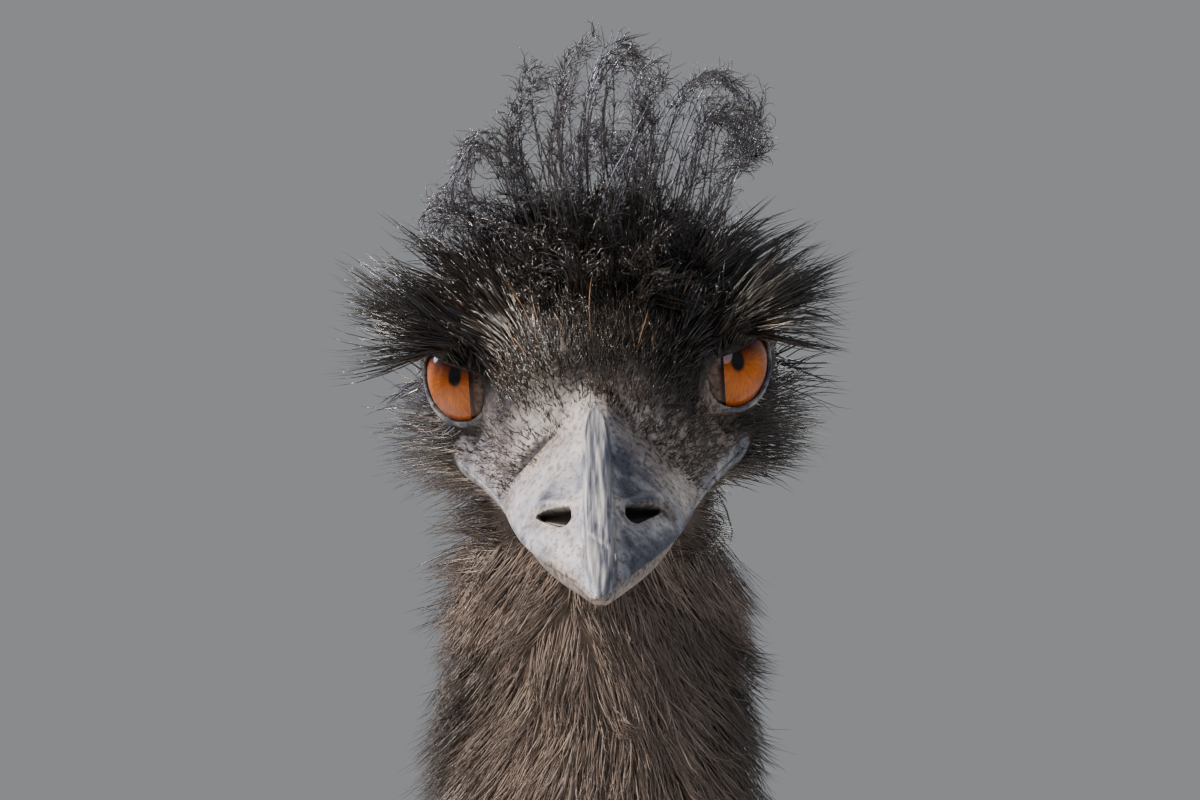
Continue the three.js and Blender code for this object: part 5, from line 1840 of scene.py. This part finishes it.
@dataclass
class HeadCoat(Coat):
    """Hair-like feathers of the head: forehead, crown, brows, cheeks, curled crest, and single gold bristles."""

    covering: int = 13500
    crown_tufts: int = 420
    stubble: int = 7000
    bristles: int = 26
    shafts: int = 12  # in each lock of the crest
    barbs: int = 5200

    def _roots(self, count: int, wanted: Callable[[Array], Array]) -> Pair:
        """Roots on the head's skin and the ways out of it, in the head's level frame."""
        at, out = self.bed.roots(count, lambda p: wanted(to_head(p)) * (p[:, 2] > 1576), self.rng)
        return to_head(at), out @ HEAD_TURN

    @staticmethod
    def _clear(lines: Array) -> Array:
        """Whether strands leave the eyes free, seen along their gaze and from the front."""
        flat = lines.reshape(-1, 3)
        _, _, out, edge = from_eye(flat)
        across = np.abs(flat[:, 0]) - OPENING_SIDE
        drop = radians(BILL_DROP)
        level = flat[:, 2] * cos(drop) + (flat[:, 1] - across) * sin(drop)
        seen = (np.hypot(across / 8.2, level / 8.1) < 1) & (level < 3.9 + 0.2 * across) & (flat[:, 1] < 6)
        crosses = ((edge < -0.5) & (out > 5)) | seen
        return ~crosses.reshape(lines.shape[:2]).any(1)

    def _assemble(self, at: Array, lines: Array, outs: Array, width: Array, copies: int = 1) -> Strands:
        """Strands given in the head's level frame, turned into the bird's, without those across the eyes."""
        angle = np.arctan2(at[:, 0], at[:, 2])
        t = np.clip((at[:, 1] + 40) / 110, 0, 1)
        turned_outs = outs @ HEAD_TURN.T
        made = self.strands("skull", t, angle, to_bird(at), to_bird(lines), turned_outs, width, 0.9, copies)
        return made.only(self._clear(lines))

    @staticmethod
    def _thickness(local: Array) -> Array:
        """How thickly feathers stand at points of the head."""
        _, up, out, edge = from_eye(local)
        below = 1 - smooth(up, 1, 4)
        lids = smooth(edge, -0.2 + 0.5 * below, 0.5 + 0.7 * below) * (1 - (1 - smooth(edge, 1.4, 2.6)) * below)
        socket = (np.linalg.norm(np.abs(local) * [1, 0, 0] + local * [0, 1, 1] - EYE_AT, axis=1) < 14.6) * 1.0
        seen = 0.22 + 0.78 * smooth(-local[:, 1], -26, -5)
        front = 1 + 0.8 * smooth(local[:, 2], 4, 14) * smooth(-local[:, 1], -6, 8)
        front += 3.0 * (1 - smooth(edge, 2, 6)) * smooth(up, 2, 6) * (out > 3)
        return (1 - bareness(local)) * (1 - 0.8 * lore(local)) * lids * (1 - socket) * seen * front

    def _cover(self) -> Strands:
        """Feathers that radiate from the base of the bill over the forehead, crown, cheeks and nape."""
        at, out = self._roots(self.covering, self._thickness)
        n = len(at)
        x, ahead, up = np.abs(at[:, 0]), -at[:, 1], at[:, 2]
        side, nought = np.sign(at[:, 0]), 0 * x
        along, rise, _, edge = from_eye(at)
        by_eye = (1 - smooth(edge, 1.0, 6.0)) * (x > 16) * (ahead > -16)
        over = (1 - smooth(edge, 4.0, 8.0)) * smooth(rise, 3, 6) * (x > 16) * (ahead > -16)
        behind = smooth(-ahead, 22, 55)[:, None]
        crown = smooth(up, 12, 26) * (1 - smooth(ahead, 2, 20))
        brow = smooth(x, 15, 25) * smooth(up, 6, 11) * (1 - smooth(up, 22, 30))
        brow *= smooth(ahead, -18, -6) * (1 - smooth(ahead, 12, 22))
        cheek = smooth(x, 22, 32) * (1 - smooth(up, -17, -7)) * (1 - smooth(ahead, 0, 12))
        temple = smooth(x, 30, 36) * smooth(up, -17, -9) * (1 - smooth(up, 4, 9)) * smooth(ahead, -18, -8)
        away = unit(at - np.array([0.0, -50.0, -12.0]))
        way = away * (1 - 0.75 * behind) + np.array([0, 0.35, -0.9]) * behind
        turn = 0.5 * ripple(at, 7.0) + self.rng.normal(0, 0.1, n)
        way = way + np.cross(out, way) * turn[:, None]
        outwards = along[:, None] * EYE_BACKWARD * np.stack([side, 1 + nought, nought], -1) + rise[:, None] * EYE_UP
        way = way + unit(outwards) * (1.6 * by_eye)[:, None]
        way = unit(skimming(way, out))
        length = (8.5 + 6 * crown + 20 * brow + 14 * cheek) * (1 - 0.5 * smooth(ahead, 10, 34))
        length *= (1 - 0.45 * by_eye * (1 - 0.6 * brow)) * (1 - 0.35 * temple) * self.rng.uniform(0.6, 1.2, n)
        length *= 1 + 0.8 * behind[:, 0]
        stand = 12 + 16 * crown + 20 * cheek + 6 * brow + 38 * over + 8 * behind[:, 0] + self.rng.normal(0, 6, n)
        stand = np.radians(stand)
        flare = np.stack([side, 0.1 + nought, 0.3 + nought], -1) * (0.95 * brow)[:, None]
        flare += np.stack([side, 0.3 + nought, -0.3 + nought], -1) * (0.6 * cheek)[:, None]
        start = unit(way * np.cos(stand)[:, None] + out * np.sin(stand)[:, None] + flare)
        curl = self.rng.normal(0, 0.3, n) * (0.5 + 1.6 * crown)
        bend = -0.18 * out + np.array([0, 0, -0.1])
        lines, outs = sprung(at - out * 0.6, start, out, length, 5, bend, curl, 0.1, self.rng)
        lines = clumped(lines, n // 12, 0.75 - 0.45 * cheek, self.rng)
        width = self.rng.uniform(0.28, 0.5, n) * (1 - 0.3 * cheek) * (1 + 0.9 * behind[:, 0])
        return self._assemble(at, lines, outs, width)

    def _crown(self) -> Strands:
        """Loose, curly tufts that lie every way on the crown, below the crest."""
        at, out = self._roots(
            self.crown_tufts,
            lambda q: smooth(q[:, 2], 15, 26) * (1 - smooth(-q[:, 1], 6, 18)) * smooth(-q[:, 1], -42, -22),
        )
        n = len(at)
        way = out * 0.8 + self.rng.normal(0, 0.6, (n, 3)) + np.array([0, 0.3, 0.15])
        length = self.rng.uniform(11, 23, n)
        curl = self.rng.uniform(1.0, 4.6, n)
        lines, outs = sprung(at - out, way, out, length, 7, np.array([0, 0.2, -0.3]) + 0 * out, curl, 0.35, self.rng)
        copies = 7
        split, ways = tufted(lines, outs, copies, (1.4, 2.2), 1.4, self.rng)
        return self._assemble(at, split, ways, self.rng.uniform(0.26, 0.46, len(split)), copies)

    def _stubble(self) -> Strands:
        """Short bristles over the lores, and thinly over the bare skin at the base of the bill."""

        def wanted(local: Array) -> Array:
            front = smooth(-local[:, 1], 10, 22) * (local[:, 2] > MOUTH_LEVEL + 4)
            front *= 1 - 0.6 * smooth(-local[:, 1], 28, 36) * (1 - smooth(local[:, 0], -4, 4))
            return np.maximum(front, lore(local)) * (1 - lips(local)) * smooth(from_eye(local)[3], 1.6, 2.2)

        at, out = self._roots(self.stubble, wanted)
        n = len(at)
        away = unit(at - np.array([0.0, -60.0, -14.0]))
        way = skimming(away, out) + self.rng.normal(0, 0.3, (n, 3))
        length = self.rng.uniform(2.0, 5.0, n) * (1 + 0.5 * smooth(at[:, 2], 0, 8))
        start = unit(way + out * 0.35)
        lines, outs = sprung(at - out * 0.4, start, out, length, 3, -0.3 * out, np.zeros(n), 0.0, self.rng)
        made = self._assemble(at, lines, outs, self.rng.uniform(0.2, 0.34, n))
        made.pale = self.rng.uniform(0, 0.8, len(made)) ** 2
        return made

    def _gold(self) -> Strands:
        """Single rusty bristles that stand between the dark feathers of the forehead."""
        at, out = self._roots(self.bristles, lambda q: smooth(q[:, 2], 5, 14) * smooth(-q[:, 1], 0, 8) * (1 - snout(q)))
        n = len(at)
        away = unit(at - np.array([0.0, -44.0, -12.0]))
        way = unit(skimming(away, out))
        start = unit(way + out * self.rng.uniform(0.25, 0.6, n)[:, None])
        curl = self.rng.normal(0, 0.3, n)
        length = self.rng.uniform(8, 17, n)
        lines, outs = sprung(at - out * 0.4, start, out, length, 6, -0.1 * out, curl, 0.05, self.rng)
        return self._assemble(at, lines, outs, np.full(n, 0.26))

    def _crest(self) -> tuple[Strands, Strands]:
        """The crest: the shafts of its curled locks, and the fine barbs that stand off them."""
        shafts, outs = [], []
        for (low, high), lock in CREST:
            s, height = np.array(lock, float).T
            depth = np.linspace(low, high, len(s))
            guide = np.stack([s, depth, (height - 0.342 * depth) / 0.94], -1)
            fine = through(guide, np.linspace(0, 1, 14))
            count = self.shafts
            ends = self.rng.uniform(0.55, 1.0, count)
            run = np.stack([through(fine, np.linspace(0, end, 14)) for end in ends])
            share = np.linspace(0, 1, 14)[None, :, None]
            root = self.rng.normal(0, 1, (count, 1, 3)) * [4.0, 3.5, 1.0]
            tip = self.rng.normal(0, 1, (count, 1, 3)) * [1.2, 3.0, 1.6]
            turn = self.rng.uniform(0, 2 * pi, (count, 1, 3))
            wave = np.sin(turn + self.rng.uniform(3, 9, (count, 1, 1)) * share) * 1.8 * np.sqrt(share)
            shafts.append(run + mix(root, tip, share) + wave)
        lines = np.concatenate(shafts)
        n = len(lines)
        outs = np.tile(np.array([0, -1.0, 0.2]), (n, 14, 1))
        ahead = unit(np.gradient(lines, axis=1))
        pick, place = self.rng.integers(0, n, self.barbs), self.rng.integers(2, 14, self.barbs)
        root, along = lines[pick, place], ahead[pick, place]
        way = along * 1.1 + self.rng.normal(0, 0.45, (self.barbs, 3))
        length, curl = self.rng.uniform(3.0, 8.0, self.barbs), self.rng.uniform(-3.4, 3.4, self.barbs)
        out = np.tile(np.array([0, -1.0, 0.2]), (self.barbs, 1))
        split, ways = sprung(root, way, out, length, 5, self.rng.normal(0, 0.5, (self.barbs, 3)), curl, 0.3, self.rng)
        main = self._assemble(lines[:, 0], lines, outs, self.rng.uniform(0.26, 0.42, n))
        return main, self._assemble(root, split, ways, self.rng.uniform(0.15, 0.28, self.barbs))

    def build(self) -> None:
        """Builds the head's coat."""
        black = Plumage(
            "head feathers, black-brown keratin", ("#3a2e26", "#1e1713", "#0d0b0b"), ("#8a7a6c", "#5c4d42", "#1c1613"),
            gloss=0.27, glint=0.6, sheen=0.0,
        ).material()
        gold = Plumage(
            "bristles, rusty keratin", ("#6a4a2c", "#94683a", "#b08a58"), ("#6a4a2c", "#94683a", "#b08a58"), gloss=0.35
        ).material()
        cover = self._cover()
        x, front = cover.lines[:, 0, 0], cover.lines[:, 0, 1] < -EYE_FORWARD - 2
        parts = {f"face_{side.word}": cover.only(front & (x * side.value > 0)) for side in Side}
        parts |= {f"nape_{side.word}": cover.only(~front & (x * side.value > 0)) for side in Side}
        shafts, fringe = self._crest()
        parts |= {"crown": self._crown(), "stubble": self._stubble()}
        for name, strands in parts.items():
            self.piece(name, strands, black, Slot.HEAD)
        # The crest's paler, silvery tips are painted glints of the back light over its dark feathers.
        crest_with_painted_glints = Plumage(
            "crest feathers, glossy keratin", ("#241f1d", "#3c383c", "#5d5b63"), ("#241f1d", "#3c383c", "#5d5b63"),
            gloss=0.2, glint=1.0, sheen=0.0,
        ).material()
        for name, strands in (("crest", shafts), ("crest_barbs", fringe)):
            self.piece(name, strands, crest_with_painted_glints, Slot.HEAD)
        self.piece("bristles", self._gold(), gold, Slot.HEAD)


@dataclass
class NeckCoat(Coat):
    """Down of the neck: short near the head and longer to its base, each tuft curled out at its dark tip."""

    upper: int = 16000
    middle: int = 4600

    def _upper(self) -> Strands:
        """Tufts of short down below the head, pressed together at their tips, where the photo looks closely."""
        at, out = self.bed.roots(
            self.upper,
            lambda p: smooth(p[:, 2], 1440, 1505) * (1 - smooth(p[:, 2], 1584, 1598)) * (to_head(p)[:, 1] > -26) * (
                0.25 + 0.75 * smooth(-p[:, 1], 330, 350)
            ),
            self.rng,
        )
        n = len(at)
        down = np.array([0, 0, -1.0]) + self.rng.normal(0, 0.1, (n, 3))
        down[:, 0] += 0.35 * ripple(at, 24) + 0.035 * at[:, 0] * smooth(at[:, 2], 1490, 1560)
        way = unit(skimming(down, out))
        aside = smooth(np.abs(at[:, 0]), 18, 28) * smooth(at[:, 2], 1470, 1530)
        start = unit(way + out * (self.rng.uniform(0.15, 0.55, n) + 0.45 * aside)[:, None])
        length = (14 + 7 * (1 - smooth(at[:, 2], 1520, 1575)) + 5 * aside) * self.rng.uniform(0.6, 1.25, n)
        bend = -0.12 * out + self.rng.normal(0, 0.16, (n, 3))
        curl = self.rng.normal(0, 0.35, n)
        lines, outs = sprung(at - out * 0.8, start, out, length, 4, bend, curl, 0.1, self.rng)
        lines = clumped(lines, n // 45, 0.6, self.rng)
        t = np.clip((at[:, 2] - 960) / 660, 0, 1)
        angle = np.arctan2(at[:, 0], at[:, 1] + 345)
        return self.strands("neck", t, angle, at, lines, outs, self.rng.uniform(0.24, 0.44, n), 0.9)

    def _middle(self) -> Strands:
        """Longer down, seen from further away."""
        t, angle = NECK.scatter(
            self.middle, lambda t,
            a: smooth(t, 0.33, 0.4) * (1 - smooth(t - 0.13 * smooth(-np.cos(a), -0.2, 0.5), 0.76, 0.86)),
        )
        t = t + self.rng.normal(0, 0.004, len(t))
        angle = angle + self.rng.normal(0, 0.12, len(t))
        at, out = NECK.skin(t, angle), NECK.slopes(t, angle)[2]
        n = len(t)
        down = np.array([0, 0, -1.0]) + self.rng.normal(0, 0.14, (n, 3))
        way = unit(skimming(down, out))
        start = unit(way + out * self.rng.uniform(0.2, 0.5, n)[:, None])
        length = (22 + 40 * (1 - smooth(t, 0.35, 0.72))) * self.rng.uniform(0.6, 1.2, n)
        bend = -0.22 * out + self.rng.normal(0, 0.22, (n, 3))
        curl = self.rng.normal(0, 0.7, n)
        lines, outs = sprung(at - out, start, out, length, 5, bend, curl, 0.1, self.rng)
        lines = clumped(lines, n // 8, 0.6, self.rng)
        width = self.rng.uniform(1.1, 2.0, n) * (1 - 0.45 * smooth(t, 0.72, 0.86))
        return self.strands("neck", t, angle, at, lines, outs, width, 0.7)

    def build(self) -> None:
        """Builds the neck's coat."""
        down = Plumage(
            "neck down, soft keratin", ("#2e2520", "#1d1613", "#0b0908"), ("#ab998c", "#927f73", "#54453c"), gloss=0.45,
            sheen=0.1,
        ).material()
        upper = self._upper()
        front, left = upper.lines[:, 0, 1] < -342, upper.lines[:, 0, 0] > 0
        parts = {
            "throat_left": upper.only(front & left), "throat_right": upper.only(front & ~left),
            "neck_upper": upper.only(~front), "neck_middle": self._middle(),
        }
        for name, strands in parts.items():
            self.piece(name, strands, down, Slot.NECK)


@dataclass
class BodyCoat(Coat):
    """Long double feathers of trunk, tail, thighs and wings, parted along the back and hanging like a mop."""

    trunk_feathers: int = 2700
    neck_feathers: int = 900
    thigh_feathers: int = 460
    wing_feathers: int = 80

    @staticmethod
    def way(t: Array, angle: Array) -> Array:
        """The lie on the trunk: out from the parting, back over the flanks, and down as a skirt."""
        side = np.where(np.sin(angle) < 0, -1.0, 1.0)
        top = np.maximum(np.cos(angle), 0)
        rump, breast = smooth(t, 0.58, 0.85), 1 - smooth(t, 0, 0.3)
        sideways = 0.15 + 0.75 * top - (0.1 + 0.7 * top) * rump
        return np.stack([side * sideways, 0.85 - 0.45 * breast - 0.35 * rump, -0.45 - 0.5 * (1 - top) - 0.6 * rump], -1)

    def _feathers(
        self, body: Body, patch: str, count: int, wanted: OverBody, gap: float, lie: Lie, spread: tuple[float, float],
        width: tuple[float, float], flat: float = 0.5, copies: int = 4,
    ) -> Strands:
        """Feathers of one body, each split into barbs.

        Args:
            body: the body that they grow on.
            patch: its patch on the unwrap.
            count: how many are scattered.
            wanted: how thickly they stand.
            gap: how far from the skin a root may lie.
            lie: how they lie.
            spread: half the width of a feather, and how far its ends stray.
            width: the least and the greatest width of a barb.
            flat: the depth of a barb as a share of half its width.
            copies: barbs in a feather.

        Returns:
            The barbs.
        """
        t, angle = body.scatter(count, wanted)
        at = body.skin(t, angle)
        keep = self.bed.free(at, gap)
        t, angle, at = t[keep], angle[keep], at[keep]
        lines, outs = laid(body, t, angle, lie, self.rng)
        split, ways = barbs(lines, outs, copies, *spread, self.rng)
        wide = self.rng.uniform(*width, len(split))
        return self.strands(patch, t, angle, at, split, ways, wide, flat, copies)

    def _trunk(self) -> Strands:
        """Feathers of the trunk and tail."""
        lie = Lie(
            way=self.way, length=lambda t, a: (165 + 55 * smooth(t, 0.2, 0.7)) * (1 - 0.4 * np.maximum(-np.cos(a), 0)),
            lift=lambda t, a: 16 + (TRUNK_COAT - 16) * self.rng.uniform(0, 1, len(t)), steps=6, fall=0.3,
        )
        return self._feathers(
            TRUNK, "trunk", self.trunk_feathers, lambda t, a: np.ones_like(t), 10, lie, (14, 8), (3.0, 5.6))

    def _neck_base(self) -> Strands:
        """Loose feathers at the base of the neck, which run on into those of the breast."""
        lie = Lie(
            way=lambda t, a: np.stack([np.sin(a) * 0.25, 0 * t, -np.ones_like(t)], -1),
            length=lambda t, a: 150 - 190 * t,
            lift=lambda t, a: 14 + 16 * self.rng.uniform(0, 1, len(t)), leave=0.24, fall=0.3, steps=5,
        )
        return self._feathers(
            NECK, "neck", self.neck_feathers, lambda t, a: smooth(t, 0.1, 0.16) * (1 - smooth(t, 0.36, 0.44)), 14,
            lie, (9, 4), (1.6, 2.8), 0.6,
        )

    def build(self) -> None:
        """Builds the coat of the body, in pieces."""
        plumes = Plumage(
            "body feathers, loose keratin", ("#6d5f52", "#3b3029", "#171210"), ("#8f7f6e", "#6a5849", "#231b16"),
            gloss=0.55, sheen=0.3,
        ).material()
        trunk = self._trunk()
        y, x = trunk.lines[:, 0, 1], trunk.lines[:, 0, 0]
        stretches = {"breast": (-999, -170), "shoulder": (-170, 20), "loin": (20, 210), "rump": (210, 999)}
        for name, (low, high) in stretches.items():
            here = (y >= low) & (y < high)
            for side in Side:
                group = trunk.only(here & (x * side.value > 0))
                self.piece(f"{name}_{side.word}", group, plumes, Slot.BODY)
        self.piece("neck_lower", self._neck_base(), plumes, Slot.NECK)
        thigh_lie = Lie(
            way=lambda t, a: np.tile(np.array([0, 0.3, -1.0]), (len(t), 1)), length=lambda t, a: 110 - 60 * t,
            lift=lambda t, a: (6 + 12 * self.rng.uniform(0, 1, len(t))) * (1 - 0.5 * smooth(t, 0.7, 1.0)), fall=0.2,
            steps=5,
        )
        wing_lie = Lie(
            way=lambda t, a: np.tile(np.array([-0.02, 1.0, -0.8]), (len(t), 1)), length=lambda t, a: 110 + 40 * t,
            lift=lambda t, a: 8 + 13 * self.rng.uniform(0, 1, len(t)), steps=6,
        )
        limbs = (
            (THIGH, "thigh", self.thigh_feathers, thigh_lie, (6, 3), (1.54, 2.86)),
            (WING, "wing", self.wing_feathers, wing_lie, (7, 3), (1.82, 3.38), 0.5, 5),
        )
        for side in Side:
            for body, limb, count, *looks in limbs:
                name = f"{limb}_{side.word}"
                shape = body if side is Side.LEFT else body.mirrored()
                strands = self._feathers(shape, name, count, lambda t, a: (t > 0.05) * 1.0, 10, *looks)
                self.piece(name, strands, plumes, Slot.BODY)


# The studio.


@dataclass
class Studio:
    """Camera, pale floor and soft lights."""

    frame: Frame
    distance: float = 2200.0  # camera to the eyes, millimetres
    lens: float = 277.2
    aim: tuple[float, float] = (0.7, 1626.3)  # x and z of the middle of the view at the eyes
    floor_half: float = 14.0

    def camera(self) -> None:
        """Sets the camera level, straight in front of the head."""
        data = bpy.data.cameras.new("camera")
        data.lens, data.sensor_width = self.lens, 36.0
        data.clip_end = 60.0
        made = linked("camera", data)
        x, z = self.aim
        made.location = Vector(self.frame.place(np.array([[x, -EYE_FORWARD - self.distance, z]]))[0])
        made.rotation_euler = (radians(90), 0, 0)
        bpy.context.scene.camera = made

    def _lamp(
        self, name: str, place: Sequence[float], aim: Sequence[float], size: float, power: float, tint: str
    ) -> None:
        """Adds one soft lamp."""
        data = bpy.data.lights.new(name, "AREA")
        data.shape, data.size, data.energy = "DISK", size, power
        data.color = linear(tint)[:3]
        made = linked(name, data)
        made.location = place
        made.rotation_euler = (Vector(aim) - Vector(place)).to_track_quat("-Z", "Y").to_euler()

    def build(self) -> None:
        """Adds the floor, the lamps and the pale surroundings."""
        half = self.floor_half
        mesh = bpy.data.meshes.new("floor")
        mesh.from_pydata([(-half, -half, 0), (half, -half, 0), (half, half, 0), (-half, half, 0)], [], [(0, 1, 2, 3)])
        mesh.materials.append(StudioFloor().material())
        floor = linked("floor", mesh)
        floor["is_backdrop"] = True
        head = (0, -0.4, 1.6)
        middle = (0, 0, 0.95)
        self._lamp("key", (-3.3, -1.25, 4.3), head, 0.6, 470, "#fff4e6")
        self._lamp("fill", (2.2, -4.0, 2.4), middle, 2.4, 45, "#dfe8ff")
        self._lamp("back", (1.6, 3.4, 3.4), middle, 2.4, 60, "#ffffff")
        self._lamp("sky", (-2.9, 1.7, 3.25), head, 2.0, 95, "#dfe2ff")
        world = bpy.data.worlds.new("surroundings")
        bpy.context.scene.world = world
        world.use_nodes = True
        world.node_tree.nodes["Background"].inputs["Color"].default_value = linear("#c9ccd0")
        world.node_tree.nodes["Background"].inputs["Strength"].default_value = 0.44


def main() -> None:
    """Builds the whole scene in order."""
    logging.basicConfig(level=logging.INFO, format="%(name)s %(message)s")
    frame = Frame()
    studio = Studio(frame)
    studio.camera()
    studio.build()
    skin = Skin(frame).build()
    Bill(frame).build()
    Eyes(frame).build()
    Claws(frame).build()
    bed = Bed(skin, frame)
    for coat in (HeadCoat(frame, bed, 11), NeckCoat(frame, bed, 23), BodyCoat(frame, bed, 37)):
        coat.build()
    frame.write_sizes()


if __name__ == "__main__":
    main()
